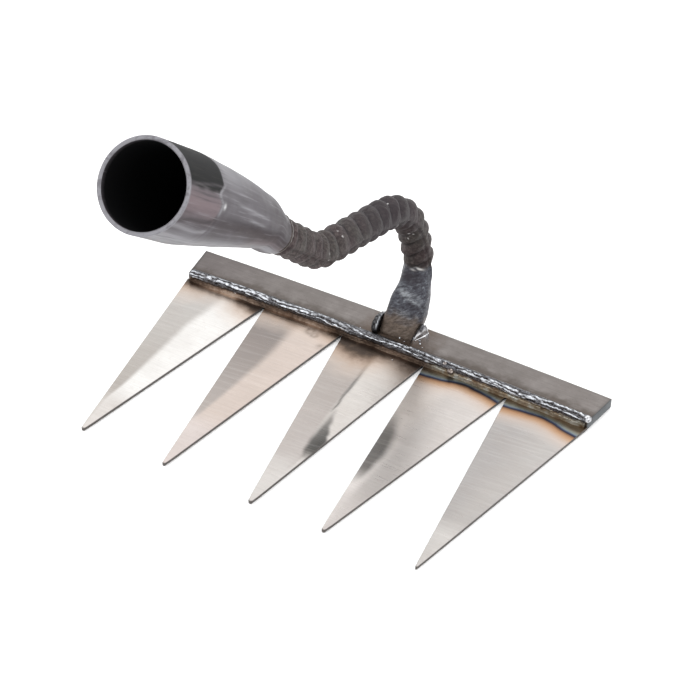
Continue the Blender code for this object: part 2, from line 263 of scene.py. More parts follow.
def finishMaterial(material, colour, roughness=None, normal=None):
    tree = material.node_tree
    shader = tree.nodes["Principled BSDF"]
    tree.links.new(colour, shader.inputs["Base Color"])
    if roughness is not None:
        tree.links.new(roughness, shader.inputs["Roughness"])
    if normal is not None:
        tree.links.new(normal, shader.inputs["Normal"])
    return material


# Crossbar: a flat bar that the welds drew into a shallow arc

bar = {
    "depth": 20.0,
    "thickness": 5.0,
    "endInset": 0.4,
    "endFlare": 2.1,
    "bowRadius": 3130.0,
    "stations": 120,
    "cutsAcross": 19,
    "edgeRound": 0.35,
    "burr": 0.12,
}


def bowed(along, across, height):
    angle = along / bar["bowRadius"]
    reach = bar["bowRadius"] + across
    return Vector((reach * math.sin(angle), reach * math.cos(angle) - bar["bowRadius"], height))


blades = {
    "pitch": 43.1,
    "widthsOff": (1.3, -0.3, 0.9, 0.3, -2.2),
    "length": 122.1,
    "lengthsOff": (-0.9, 0.5, 2.8, 1.0, -3.1),
    "tipsOff": (-3.5, -1.5, 2.0, -4.1, -0.4),
    "rowShift": -0.15,
    "sideGap": 0.8,
    "straight": 0.6,
    "tipWidths": (1.7, 1.5, 1.9, 1.7, 0.9),
    "thickness": 1.5,
    "gap": 0.3,
    "columns": 44,
    "rows": 150,
    "edgeRound": 0.14,
}


def bladeWidths():
    return [blades["pitch"] + off for off in blades["widthsOff"]]


def barHalf(across):
    front = sum(bladeWidths()) / 2.0 - bar["endInset"]
    return front + bar["endFlare"] * (across + bar["depth"] / 2.0) / bar["depth"]


# How far heat coloured the top of the bar, in millimetres from the foot's middle and from the seam
heat = {
    "footAt": 5.5,
    "footFull": 8.0,
    "footReach": 26.0,
    "seamFrom": 6.0,
    "seamFull": 0.3,
    "seamReach": 5.0,
}


def barMaterial():
    material, tree, _ = startMaterial("millSteel", 0.42)
    at = place(tree)
    rolled = speckle(tree, place(tree, (0.08, 1.0, 1.0)), 0.9, 3.0, 0.6)
    mottled = speckle(tree, at, 9.0, 4.0, 0.6)
    pits = speckle(tree, at, 0.7, 2.0, 0.5)
    nearSeam = calc(tree, "ADD", mark(tree, "fromSeam"), span(tree, mottled, 0.3, 0.7, -1.6, 1.6))
    nearFoot = calc(tree, "ADD", mark(tree, "fromFoot"), span(tree, mottled, 0.3, 0.7, -3.0, 3.0))
    base, _ = toneRamp(tree, mottled, (0.3, 121, 115, 112), (0.52, 136, 130, 127), (0.7, 150, 144, 141))
    base = paint(
        tree, base,
        ((rolled, 0.35, 0.7, 0.0, 0.35), (110, 105, 101)),
        ((pits, 0.62, 0.75, 0.0, 0.5), (92, 86, 82)),
        # the left end is duskier, and heat from the seam and from the foot browned the top
        ((mark(tree, "alongBar"), -110.0, -50.0, 0.45, 0.0), (96, 88, 90)),
        ((nearSeam, heat["seamFull"], heat["seamReach"], 0.75, 0.0), (88, 80, 74)),
        ((nearFoot, heat["footFull"], heat["footReach"], 0.7, 0.0), (104, 88, 76)),
        # sawn ends: greyer, with a dark upper edge
        (mark(tree, "endFace", 0.85), (116, 123, 127)),
        (mark(tree, "edge", 0.55), (70, 66, 63)),
    )
    rough = span(tree, mottled, 0.3, 0.7, 0.36, 0.52)
    normal = bump(tree, rolled, 0.25, 0.05)
    normal = bump(tree, pits, 0.3, 0.06, normal)
    return finishMaterial(material, base, rough, normal)


def makeCrossbar():
    shape = bmesh.new()
    bmesh.ops.create_cube(shape, size=1.0)
    tall = [edge for edge in shape.edges if abs((edge.verts[0].co - edge.verts[1].co).x) > 0.5]
    bmesh.ops.subdivide_edges(shape, edges=tall, cuts=bar["stations"] - 1, use_grid_fill=True)
    deep = [edge for edge in shape.edges if abs((edge.verts[0].co - edge.verts[1].co).y) > 0.5]
    bmesh.ops.subdivide_edges(shape, edges=deep, cuts=bar["cutsAcross"], use_grid_fill=True)
    for vertex in shape.verts:
        across = vertex.co.y * bar["depth"]
        along = vertex.co.x * 2.0 * barHalf(across)
        height = (vertex.co.z + 0.5) * bar["thickness"]
        vertex.co = Vector((along, across, height))
    corners = [edge for edge in shape.edges if edge.calc_face_angle(0.0) > 1.0]
    bmesh.ops.bevel(
        shape, geom=corners, offset=bar["edgeRound"], segments=3, profile=0.5, affect="EDGES", material=-1
    )
    shape.verts.index_update()
    marks = {}
    top, back = bar["thickness"], bar["depth"] / 2.0
    for vertex in shape.verts:
        along, across, height = vertex.co
        toEnd = barHalf(across) - abs(along)
        topEdge = hill(height - top, 0.5) * hill(toEnd, 0.6)
        marks[vertex.index] = {
            "alongBar": along,
            "fromSeam": across + heat["seamFrom"] if height > 1.0 else heat["seamFrom"],
            "fromFoot": math.hypot(along - heat["footAt"], across),
            "endFace": fadeOut(0.1, 0.4, toEnd),
            "edge": max(topEdge, 0.6 * hill(height - top, 0.4) * hill(across - back, 0.4)),
        }
        worn = grain(along, across, height, 6.0, 3.1) * bar["burr"]
        inward = abs(worn) if abs(across) > back - 1.0 or toEnd < 1.0 else 0.0
        if toEnd < 1.0:
            along -= math.copysign(inward, along)
        vertex.co = bowed(along, across - math.copysign(inward, across), height)
    return makePiece("crossbarSteel", shape, marks, barMaterial(), ["crossbar"], 40.0)


makeCrossbar()
print("crossbar made")


# Blades: brushed sheet, each with its own painted reflections and heat tint

# border: (mm below the seam, side -1 to 1) where the left half's painted reflection meets the right half's
# warmth: (side, mm) by which the brown tint under the bead starts paler
# blueLine: (side, mm below the seam) of the blue temper line, on the two blades that have one
bladeLooks = [
    {
        "left": (198, 194, 190), "leftLow": (184, 178, 172), "right": (243, 241, 238), "tip": (216, 210, 205),
        "border": ((0, 0.10), (17, 0.0), (33, -0.12), (60, -0.16), (82, -0.30), (95, -0.62)),
        "soft": 0.16, "tipFrom": 84.0, "brownReach": 20.0,
        "warmth": ((-1, -0.2), (-0.6, 1.4), (-0.25, 4.2), (0.1, 4.8), (0.4, 0.8), (0.75, -2.4), (1, -3.6)),
    },
    {
        "left": (146, 138, 134), "leftLow": (184, 176, 171), "right": (214, 200, 191), "tip": (220, 210, 206),
        "border": ((0, -0.02), (15, -0.03), (41, -0.06), (63, -0.25), (81, -0.6), (92, -1.1)),
        "soft": 0.16, "tipFrom": 78.0, "brownReach": 18.0,
        "warmth": ((-1, 1.6), (-0.5, 2.6), (-0.1, 2.0), (0.2, 3.2), (0.5, 3.0), (0.8, 0.6), (1, -0.8)),
    },
    {
        "left": (178, 170, 165), "leftLow": (194, 187, 183), "right": (220, 215, 210), "tip": (218, 214, 210),
        "border": ((0, -0.05), (15, -0.04), (39, 0.04), (58, 0.1), (71, 0.3), (83, 0.8)),
        "soft": 0.10, "tipFrom": 82.0, "brownReach": 24.0,
        "warmth": ((-1, -4.0), (-0.5, -6.6), (-0.15, -5.6), (0.05, -2.6), (0.4, 0.4), (0.8, -1.4), (1, -2.6)),
    },
    {
        "left": (236, 226, 218), "leftLow": (246, 240, 236), "right": (212, 206, 202), "tip": (223, 216, 212),
        "border": ((0, -0.3), (60, -0.3), (110, -0.3)), "soft": 0.4, "tipFrom": 84.0,
        "blueLine": ((-1, 7.2), (-0.9, 7.1), (-0.48, 6.0), (0, 3.4), (0.36, 3.9), (0.83, 5.5), (1, 6.3)),
    },
    {
        "left": (172, 168, 166), "leftLow": (176, 172, 170), "right": (184, 180, 177), "tip": (208, 204, 200),
        "border": ((0, -0.1), (40, 0.0), (80, -0.3), (110, -0.6)), "soft": 0.7, "tipFrom": 80.0,
        "blueLine": (
            (-1, 6.9), (-0.93, 6.8), (-0.49, 5.6), (-0.06, 4.7), (0.26, 5.3), (0.67, 7.5), (0.96, 8.4),
            (1, 8.5),
        ),
    },
]

# dark painted reflections: (mm below the seam, side or strength); a thin line that widens into a leaf on
# the third blade, and the edge of a painted dark reflection on the fourth
paintedReflections = {
    "line": ((2, -0.06), (6, -0.06), (15, -0.04), (27, 0.01), (39, 0.04), (47, 0.09)),
    "lineHalf": ((4, 0.07), (30, 0.045), (50, 0.04)),
    "lineDeep": ((4, 0.9), (27, 0.85), (47, 0.82)),
    "leafLeft": ((44, 0.06), (52, 0.08), (60, 0.10), (71, 0.15), (78, 0.28), (86, 0.62)),
    "leafRight": ((44, 0.12), (51.6, 0.31), (59.3, 0.53), (66.5, 0.85), (71, 1.1), (90, 1.3)),
    "leafDeep": ((46, 0.6), (56, 0.8), (66, 0.95), (74, 1.0), (86, 1.0)),
    "shade": ((14, -1.4), (33, -1.0), (49, -0.58), (60, -0.42), (72, -0.46), (84, -0.64), (94, -1.1)),
    "shadeDeep": 0.88,
}

# smoke spots on the second blade: side, mm below the seam, radius, softness, depth
soot = {
    "spots": ((0.36, 6.3, 1.6, 1.0, 0.55), (0.52, 8.0, 1.3, 0.9, 0.5), (0.9, 14.0, 0.0, 2.0, 0.45)),
    "line": ((-1, 4.4), (-0.7, 3.9), (-0.3, 3.2), (0.1, 2.6)),
    "halfBlade": 20.0,
}

# tints under the bead: (share of the reach, red, green, blue), with an alpha where it isn't 1
tints = {
    "blueReach": 18.0,
    "blueFrom": 4.4,
    "brownFrom": 1.6,
    "blue": (
        (0.0, 118, 103, 86), (0.07, 128, 115, 98), (0.14, 142, 142, 132), (0.19, 132, 142, 146),
        (0.228, 76, 84, 106), (0.255, 48, 50, 70), (0.28, 62, 50, 52, 0.98), (0.305, 122, 90, 68, 0.95),
        (0.36, 170, 128, 92, 0.94), (0.46, 190, 154, 122, 0.84), (0.64, 208, 188, 174, 0.52),
        (1.0, 214, 204, 198, 0.0),
    ),
    "brown": (
        (0.0, 80, 69, 62), (0.06, 104, 89, 78), (0.14, 136, 116, 101, 0.92), (0.24, 170, 147, 129, 0.8),
        (0.36, 200, 177, 159, 0.66), (0.58, 216, 199, 186, 0.45), (1.0, 220, 208, 200, 0.0),
    ),
}


def bladeBounds():
    start = blades["rowShift"] - sum(bladeWidths()) / 2.0
    inset = blades["sideGap"] / 2.0
    bounds = []
    for width in bladeWidths():
        bounds.append((start + inset, start + width - inset))
        start += width
    return bounds


def bladeReflections(index, side, down):
    # painted dark reflections of the third and fourth blades, 0 to 1
    wander = grain(side * 3.0, down, 0.0, 7.0, 5.0)
    if index == 2:
        middle = follow(paintedReflections["line"], down) + 0.02 * wander
        thin = hill((side - middle) / follow(paintedReflections["lineHalf"], down), 1.0)
        thin *= smoothStep(1.0, 5.0, down) * fadeOut(47.0, 54.0, down) * follow(paintedReflections["lineDeep"], down)
        # the leaf runs out over the right edge
        left, right = follow(paintedReflections["leafLeft"], down), follow(paintedReflections["leafRight"], down)
        leaf = smoothStep(left - 0.06, left + 0.26, side) * fadeOut(right - 0.16, right + 0.05, side)
        leaf *= smoothStep(44.0, 54.0, down) * fadeOut(78.0, 88.0, down)
        deep = follow(paintedReflections["leafDeep"], down) * (0.85 + 0.15 * smoothStep(-0.1, 0.9, side))
        return max(thin, leaf * deep)
    if index == 3:
        edge = glide(paintedReflections["shade"], down)
        fade = smoothStep(26.0, 54.0, down) * fadeOut(74.0, 90.0, down)
        return paintedReflections["shadeDeep"] * fade * fadeOut(edge - 0.16, edge + 0.26, side + 0.05 * wander)
    return 0.0


def bladeSoot(index, side, down):
    # smoke marks near the seam: spots and a thin line on the second blade, a crease on the third
    ragged = 0.8 + 0.7 * grain(side * soot["halfBlade"], down, 0.0, 1.6, 3.0)
    if index == 1:
        dark = 0.6 * hill(down - follow(soot["line"], side), 0.5) * fadeOut(0.0, 0.3, side)
        for spotSide, spotDown, radius, softness, depth in soot["spots"]:
            away = math.hypot((side - spotSide) * soot["halfBlade"], down - spotDown) - radius
            dark = max(dark, depth * hill(away, softness))
        return ragged * dark
    if index == 2:
        # a paler crease line that curves to the right corner has this dark border
        return 0.5 * ragged * hill(down - 2.6, 0.8) * smoothStep(0.1, 0.4, side)
    return 0.0


def bladeMaterial(index):
    looks = bladeLooks[index]
    material, tree, _ = startMaterial(f"brushedBlade{index + 1}", 0.34)
    brushed = speckle(tree, place(tree, (0.035, 1.0, 1.0), (0.0, 0.0, 0.02)), 0.45, 3.0, 0.65)
    crossed = speckle(tree, place(tree, (0.02, 0.6, 1.0), (0.0, 0.0, -0.12)), 0.8, 2.0, 0.5)
    cloud = speckle(tree, place(tree), 16.0, 3.0, 0.5)
    freckled = speckle(tree, place(tree), 1.8, 4.0, 0.65)
    # the left and right halves carry painted reflections of different brightness
    base = paint(
        tree, tone(*looks["left"]),
        ("lower", looks["leftLow"]),
        ("reflectedHalf", looks["right"]),
        ("tipward", looks["tip"]),
        # dark painted reflections on the third and fourth blades
        ("reflectionStreak", (84, 83, 81)),
        ((brushed, 0.3, 0.7, 0.0, 0.12), (120, 116, 112)),
        ((crossed, 0.45, 0.75, 0.0, 0.08), (250, 248, 245)),
        ((cloud, 0.35, 0.7, 0.0, 0.12), (168, 156, 148)),
        ((freckled, 0.5, 0.75, 0.0, 0.10), (160, 140, 126)),
    )
    # heat tint away from the bead
    if "blueLine" in looks:
        warp = span(tree, speckle(tree, place(tree), 6.0, 2.0, 0.5), 0.3, 0.7, -0.12, 0.12)
        stops, reach = tints["blue"], tints["blueReach"]
    else:
        warp = span(tree, speckle(tree, place(tree), 4.5, 3.0, 0.6), 0.3, 0.7, -0.9, 0.9)
        stops, reach = tints["brown"], looks["brownReach"]
    away = calc(tree, "ADD", mark(tree, "fromWeld"), warp)
    tint, share = toneRamp(tree, calc(tree, "DIVIDE", away, reach), *stops)
    base = mixTone(tree, share, base, tint)
    # smoke marks, and the sheared sides, dark and dull
    base = paint(tree, base, ("soot", (92, 78, 68)), ("side", (106, 102, 99)))
    rough = calc(tree, "ADD", span(tree, brushed, 0.3, 0.7, 0.27, 0.38), mark(tree, "side", 0.12))
    normal = bump(tree, brushed, 0.15, 0.02)
    return finishMaterial(material, base, rough, normal)


def bladeEdges(index, bounds, down, total):
    # left and right edge of a blade at this distance below the seam
    left, right = bounds[index]
    point = (left + right) / 2.0 + blades["tipsOff"][index]
    length = blades["length"] + blades["lengthsOff"][index]
    edges = []
    for end, sign in ((left, -1.0), (right, 1.0)):
        outer = (index == 0 and sign < 0) or (index == len(bounds) - 1 and sign > 0)
        if down > blades["straight"]:
            share = (down - blades["straight"]) / (total - blades["straight"])
            edges.append(blend(end, point + sign * blades["tipWidths"][index] / 2.0, share))
        else:
            edges.append(end + (point - end) / length * (down - blades["straight"]) if outer else end)
    return edges


def makeBlade(index, bounds):
    looks = bladeLooks[index]
    left, right = bounds[index]
    middle, half = (left + right) / 2.0, (right - left) / 2.0
    length = blades["length"] + blades["lengthsOff"][index]
    straight, tipHalf = blades["straight"], blades["tipWidths"][index] / 2.0
    total = straight + length * (1.0 - tipHalf / half)
    shape = bmesh.new()
    bmesh.ops.create_grid(shape, x_segments=blades["columns"], y_segments=blades["rows"], size=0.5)
    bmesh.ops.solidify(shape, geom=shape.faces[:], thickness=0.5)
    heights = [vertex.co.z for vertex in shape.verts]
    topFrom = (max(heights) + min(heights)) / 2.0
    shape.verts.index_update()
    marks = {}
    firstRow, step = 1.0 / blades["rows"], 1.0 / blades["columns"]
    turn = Matrix.Rotation(-middle / bar["bowRadius"], 3, "Z")
    for vertex in shape.verts:
        column = vertex.co.x + 0.5
        share = min(1.0, max(0.0, 0.5 - vertex.co.y))
        if share < firstRow:
            down = share / firstRow * straight
        else:
            down = blend(straight, total, (share - firstRow) / (1.0 - firstRow))
        leftEdge, rightEdge = bladeEdges(index, bounds, down, total)
        width = rightEdge - leftEdge
        edgeRound = min(blades["edgeRound"], width * 0.2)
        onEdge = column < 0.001 or column > 0.999
        if column < step * 1.01:
            along = leftEdge + edgeRound * column / step
        elif column > 1.0 - step * 1.01:
            along = rightEdge - edgeRound * (1.0 - column) / step
        else:
            along = leftEdge + edgeRound + (width - 2.0 * edgeRound) * (column - step) / (1.0 - 2.0 * step)
        side = (along - leftEdge) / width * 2.0 - 1.0
        tipRound = tipHalf * 0.8 * (1.0 - math.sqrt(max(0.0, 1.0 - side * side)))
        away = down - tipRound * smoothStep(total - 5.0, total, down)
        height = blades["thickness"] if vertex.co.z > topFrom else 0.0
        if onEdge:
            height += -blades["edgeRound"] if height > 0.5 else blades["edgeRound"]
        # where the left half's painted reflection gives way to the right half's
        border = glide(looks["border"], down) + 0.03 * grain(along, down, 0.0, 12.0, 8.0)
        if "blueLine" in looks:
            fromWeld = down - glide(looks["blueLine"], side) + tints["blueFrom"]
        else:
            fromWeld = down - tints["brownFrom"] + glide(looks["warmth"], side)
        marks[vertex.index] = {
            "reflectedHalf": smoothStep(border - looks["soft"], border + looks["soft"], side),
            "lower": smoothStep(10.0, 90.0, down),
            "tipward": smoothStep(looks["tipFrom"], looks["tipFrom"] + 16.0, down) * 0.85,
            "reflectionStreak": bladeReflections(index, side, down),
            "fromWeld": max(0.0, fromWeld),
            "soot": bladeSoot(index, side, down),
            "side": 1.0 if onEdge or share > 0.9999 else 0.0,
        }
        local = Vector((along - middle, -bar["depth"] / 2.0 - blades["gap"] - away, 0.0))
        spot = bowed(middle, 0.0, 0.0) + turn @ local
        vertex.co = Vector((spot.x, spot.y, height))
    name = f"blade{index + 1}Steel"
    return makePiece(name, shape, marks, bladeMaterial(index), [f"blade_{index + 1}"], 40.0)


for bladeIndex in range(len(bladeLooks)):
    makeBlade(bladeIndex, bladeBounds())
print("blades made")


# Ribbed rod: rolled scale over crescent ribs, forged smooth at the foot

rod = {
    "core": 5.8,
    "ribHeight": 1.85,
    # where each rib's crest is along the rod, above and below the long ribs
    "crestsAbove": (
        35, 46, 56, 67.5, 80, 92.5, 103, 113.5, 124.2, 136.4, 148, 161, 172.5, 182, 190, 200, 210.5, 221, 232,
    ),
    "crestsBelow": (
        39, 49, 59.3, 69, 78.5, 88, 99, 111, 123, 134, 146, 157.7, 170, 179.4, 188, 198, 208, 219.2, 230,
    ),
    "slantAbove": 5.0,
    "slantBelow": 6.0,
    "notch": 1.8,
    "longRib": 0.9,
    "longRibHalf": 0.15,
    "twist": ((25, 2.0), (45, -13.0), (110, -16.0), (126, -4.0), (150, 3.0), (185, -16.0), (235, -23.0)),
    "offset": 5.3,
    "setback": 2.0,
    "turn": 5.6,
    "angles": (116.0, 68.0, 19.7, 42.0),
    "lengths": (35.6, 46.6, 100.8),
    "bends": (19.0, 64.0, 50.0),
    "standoff": 55.2,
    "plugRadius": 6.8,
    "plugGap": 0.3,
    "plugLength": 20.0,
    "collar": 6.0,
    "footWidth": 9.8,
    "footDepth": 5.6,
    "footLength": 37.0,
    "footHeel": 16.0,
    "footShift": -1.6,
    "footSwell": 1.1,
    "footSway": 1.1,
    "ribsFrom": (31.0, 39.0),
    "longRibFrom": (22.0, 34.0),
    "forgedTo": (28.0, 38.0),
    "footLooksTo": 42.0,
    "speckRadius": 7.6,
    # patches on the forged foot: distance, slant, its pivot in degrees, reach in mm, degrees round, width
    "footPatches": {
        "lastRib": (34.3, 0.03, -60.0, 0.8, -60.0, 17.0),
        "lesser": (32.8, 0.0, 0.0, 0.7, -93.0, 12.0),
        "smear": (18.8, 0.04, -92.0, 1.4, -88.0, 36.0),
        "second": (16.2, 0.05, -80.0, 0.8, -76.0, 26.0),
        "below": (14.0, 0.05, -70.0, 0.9, -65.0, 20.0),
        "shade": (27.5, 0.0, 0.0, 3.6, -105.0, 48.0),
        "overRib": (37.2, 0.0, 0.0, 1.1, -75.0, 34.0),
        "spot": (10.2, 0.0, 0.0, 1.3, -90.0, 10.0),
        "edge": (29.5, 0.0, 0.0, 2.2, -8.0, 14.0),
    },
    "rings": 620,
    "sides": 104,
    "grainRadius": 7.0,
    "scale": 0.15,
    "hammer": 0.35,
    # bright specks of spatter on the skin: distance, degrees round, reach in mm
    "specks": (
        (182.5, 4, 0.7), (182.5, -16, 0.6), (104.5, -30, 0.5), (106.5, -38, 0.45), (102.5, -34, 0.4),
        (71, -56, 0.5), (67.5, -54, 0.45), (69, -62, 0.35), (73, -64, 0.35), (166, 48, 0.8),
        (164.5, 74, 0.5), (28, 14, 0.5), (64.5, -80, 0.4), (66, -72, 0.35), (107.5, 76, 0.4),
    ),
}


def heading(angle):
    return Vector((math.cos(angle), math.sin(angle)))


def rodCorners():
    corners = [Vector((0.0, bar["thickness"] + rod["plugGap"]))]
    for length, angle in zip(rod["lengths"], rod["angles"]):
        corners.append(corners[-1] + heading(math.radians(angle)) * length)
    return corners


def rodRoute():
    # start, angle, length and turn of each line and arc
    corners = rodCorners()
    angles = [math.radians(angle) for angle in rod["angles"]]
    legs = []
    at = corners[0]
    for i, radius in enumerate(rod["bends"]):
        turn = angles[i + 1] - angles[i]
        tangent = radius * math.tan(abs(turn) / 2.0)
        straight = (corners[i + 1] - at).length - tangent
        legs.append((at, angles[i], straight, 0.0))
        at = at + heading(angles[i]) * straight
        legs.append((at, angles[i], radius * abs(turn), turn))
        at = corners[i + 1] + heading(angles[i + 1]) * tangent
    last = rod["standoff"] - (at - corners[-1]).length + rod["plugLength"]
    legs.append((at, angles[-1], last, 0.0))
    return legs


def rodAt(legs, distance):
    index = 0
    while index < len(legs) - 1 and distance > legs[index][2]:
        distance -= legs[index][2]
        index += 1
    start, angle, length, turn = legs[index]
    if turn == 0.0:
        return start + heading(angle) * distance, angle
    radius, side = length / abs(turn), math.copysign(1.0, turn)
    centre = start + Vector((-math.sin(angle), math.cos(angle))) * radius * side
    now = angle + turn * distance / length
    return centre - Vector((-math.sin(now), math.cos(now))) * radius * side, now


def rodPlane():
    turn = math.radians(rod["turn"])
    forward = Vector((math.sin(turn), -math.cos(turn), 0.0))
    side = Vector((math.cos(turn), math.sin(turn), 0.0))
    return forward, Vector((0.0, 0.0, 1.0)), side


def inRodPlane(point, beside=0.0):
    forward, up, side = rodPlane()
    return Vector((rod["offset"], rod["setback"], 0.0)) + forward * point.x + up * point.y + side * beside


def ribLift(distance, around):
    # how high the crescent ribs stand here, 0 to 1, and how deep in the narrow notch it is, 0 to 1
    turned = around - math.radians(follow(rod["twist"], distance))
    across = math.sin(turned)
    face = "Above" if across > 0 else "Below"
    crests = rod["crests" + face]
    bent = distance - rod["slant" + face] * math.cos(turned)
    wander = 0.7 * grainAround(around, distance, 5.0, 4.5, 2.3)
    bent += wander + 0.25 * grainAround(around, distance, 5.0, 1.6, 5.1)
    below = max((crest for crest in crests if crest <= bent), default=crests[0] - 10.0)
    above = min((crest for crest in crests if crest > bent), default=crests[-1] + 10.0)
    toNotch = abs(bent - (below + above) / 2.0)
    halfPitch = (above - below) / 2.0
    # a broad round crest over a narrow notch
    rounded = math.sin(min(1.0, toNotch / halfPitch) * math.pi / 2.0) ** 1.1
    crescent = min(1.0, abs(across) * 1.3) ** 0.8
    return 1.0 - (1.0 - rounded) * crescent, fadeOut(0.0, rod["notch"], toNotch) * crescent


def squared(around, halfSide, halfThick, squareness):
    # a round section drawn out towards a rectangle
    power = 2.0 / squareness
    cosine, sine = math.cos(around), math.sin(around)
    beside, thick = abs(cosine) ** power, abs(sine) ** power
    return math.copysign(beside, cosine) * halfSide, math.copysign(thick, sine) * halfThick


def footShape(distance, radius):
    # sideways shift, half width, half depth and squareness, from the flat foot up to the round rod
    share = min(1.0, distance / rod["footLength"])
    part = smoothStep(0.0, 1.0, share)
    bulge = math.sin(math.pi * share)
    shift = rod["footShift"] * (1.0 - part) + rod["footSway"] * bulge
    halfSide = blend(rod["footWidth"], radius, part) + rod["footSwell"] * bulge
    halfThick = blend(rod["footDepth"], radius, part)
    return shift, halfSide, halfThick, 4.0 - 2.0 * part


def rodMaterial():
    material, tree, shader = startMaterial("rolledScale", 0.6, 0.3)
    shader.inputs["Specular IOR Level"].default_value = 0.35
    at = place(tree)
    flakes = speckle(tree, at, 1.7, 5.0, 0.7, 0.6)
    fine = speckle(tree, at, 0.6, 3.0, 0.7)
    cloud = speckle(tree, at, 14.0, 2.0, 0.5)
    base, _ = toneRamp(
        tree, flakes, (0.34, 20, 15, 15), (0.44, 54, 46, 45), (0.54, 86, 77, 75), (0.66, 118, 109, 106),
        (0.78, 142, 133, 129),
    )
    warm, _ = toneRamp(tree, cloud, (0.38, 62, 60, 52), (0.5, 58, 48, 46), (0.62, 60, 40, 43))
    base = mixTone(tree, 0.45, base, warm)
    # the notches between ribs get painted shade, and the rib crests a faint painted highlight
    notch = calc(tree, "MULTIPLY", mark(tree, "notch"), span(tree, flakes, 0.35, 0.6, 0.95, 0.6))
    base = paint(
        tree, base,
        ((mark(tree, "lift"), 0.8, 1.0, 0.0, 0.06), (90, 82, 78)),
        (notch, (20, 14, 15)),
        # a painted shadow line along the groove
        (mark(tree, "groove", 0.85), (36, 22, 22)),
        ((fine, 0.68, 0.8, 0.0, 0.45), (150, 143, 139)),
        ((fine, 0.27, 0.42, 0.75, 0.0), (26, 21, 21)),
    )
    # the forged foot: blue-grey and smoother, browner at the bottom, with scraped bright places
    smears = speckle(tree, place(tree, (0.3, 1.0, 1.8), (0.0, 0.5, 0.3)), 1.7, 5.0, 0.7)
    forged, _ = toneRamp(
        tree, smears, (0.3, 30, 28, 34), (0.43, 58, 57, 65), (0.57, 86, 88, 96), (0.72, 142, 148, 154),
    )
    brown, _ = toneRamp(tree, smears, (0.3, 66, 55, 48), (0.5, 104, 91, 81), (0.7, 132, 119, 109))
    forged = mixTone(tree, mark(tree, "brown"), forged, brown)
    forged = paint(tree, forged, ((fine, 0.24, 0.4, 0.35, 0.0), (44, 40, 42)))
    base = mixTone(tree, mark(tree, "forged"), base, forged)
    scraped = calc(tree, "MULTIPLY", mark(tree, "scrape"), span(tree, smears, 0.40, 0.58, 0.3, 1.0))
    # dusky zones, bright scrapes, and one mark for the painted highlight on the last ribs and the bright
    # spatter specks
    base = paint(
        tree, base,
        ("dusk", (40, 33, 40)),
        (scraped, (170, 175, 180)),
        ("bright", (236, 234, 232)),
    )
    rough = mixTone(tree, mark(tree, "forged"), (0.64, 0.64, 0.64, 1.0), (0.42, 0.42, 0.42, 1.0))
    normal = bump(tree, flakes, 0.9, 0.35)
    normal = bump(tree, fine, 0.7, 0.12, normal)
    return finishMaterial(material, base, rough, normal)


def footMarks(distance, around, uneven):
    # painted highlights on the last ribs, scrapes, dusky zones and lower brown of the forged foot
    degrees = math.degrees(around)
    patch = {}
    for name, (at, slant, pivot, reach, turn, width) in rod["footPatches"].items():
        slanted = distance - at + slant * (degrees - pivot)
        patch[name] = hill(slanted, reach) * hill(degrees - turn, width)
    smear = patch["smear"] * max(0.0, 1.0 + 1.2 * uneven)
    second = patch["second"] * max(0.0, 1.0 - 1.5 * uneven)
    bright = 1.2 * patch["lastRib"] * smoothStep(-0.4, 0.1, uneven) + 0.6 * patch["lesser"]
    return {
        "bright": min(1.0, bright),
        "scrape": min(1.0, 0.9 * smear + 0.6 * second + 0.42 * patch["spot"] + 0.2 * patch["edge"]),
        "dusk": min(1.0, 0.6 * patch["below"] + 0.85 * patch["shade"] + 0.6 * patch["overRib"]),
        "brown": fadeOut(5.0, 12.0, distance + 2.5 * uneven),
    }


def speckAt(distance, around, uneven):
    # how bright the specks of spatter make this place
    bright = 0.0
    for speckDistance, speckTurn, reach in rod["specks"]:
        if abs(distance - speckDistance) < 3.0:
            turned = (math.degrees(around) - speckTurn + 180.0) % 360.0 - 180.0
            off = math.radians(turned) * rod["speckRadius"]
            near = math.hypot(distance - speckDistance, off) + 0.5 * uneven
            bright = max(bright, 0.9 * fadeOut(reach * 0.35, reach, near))
    return bright


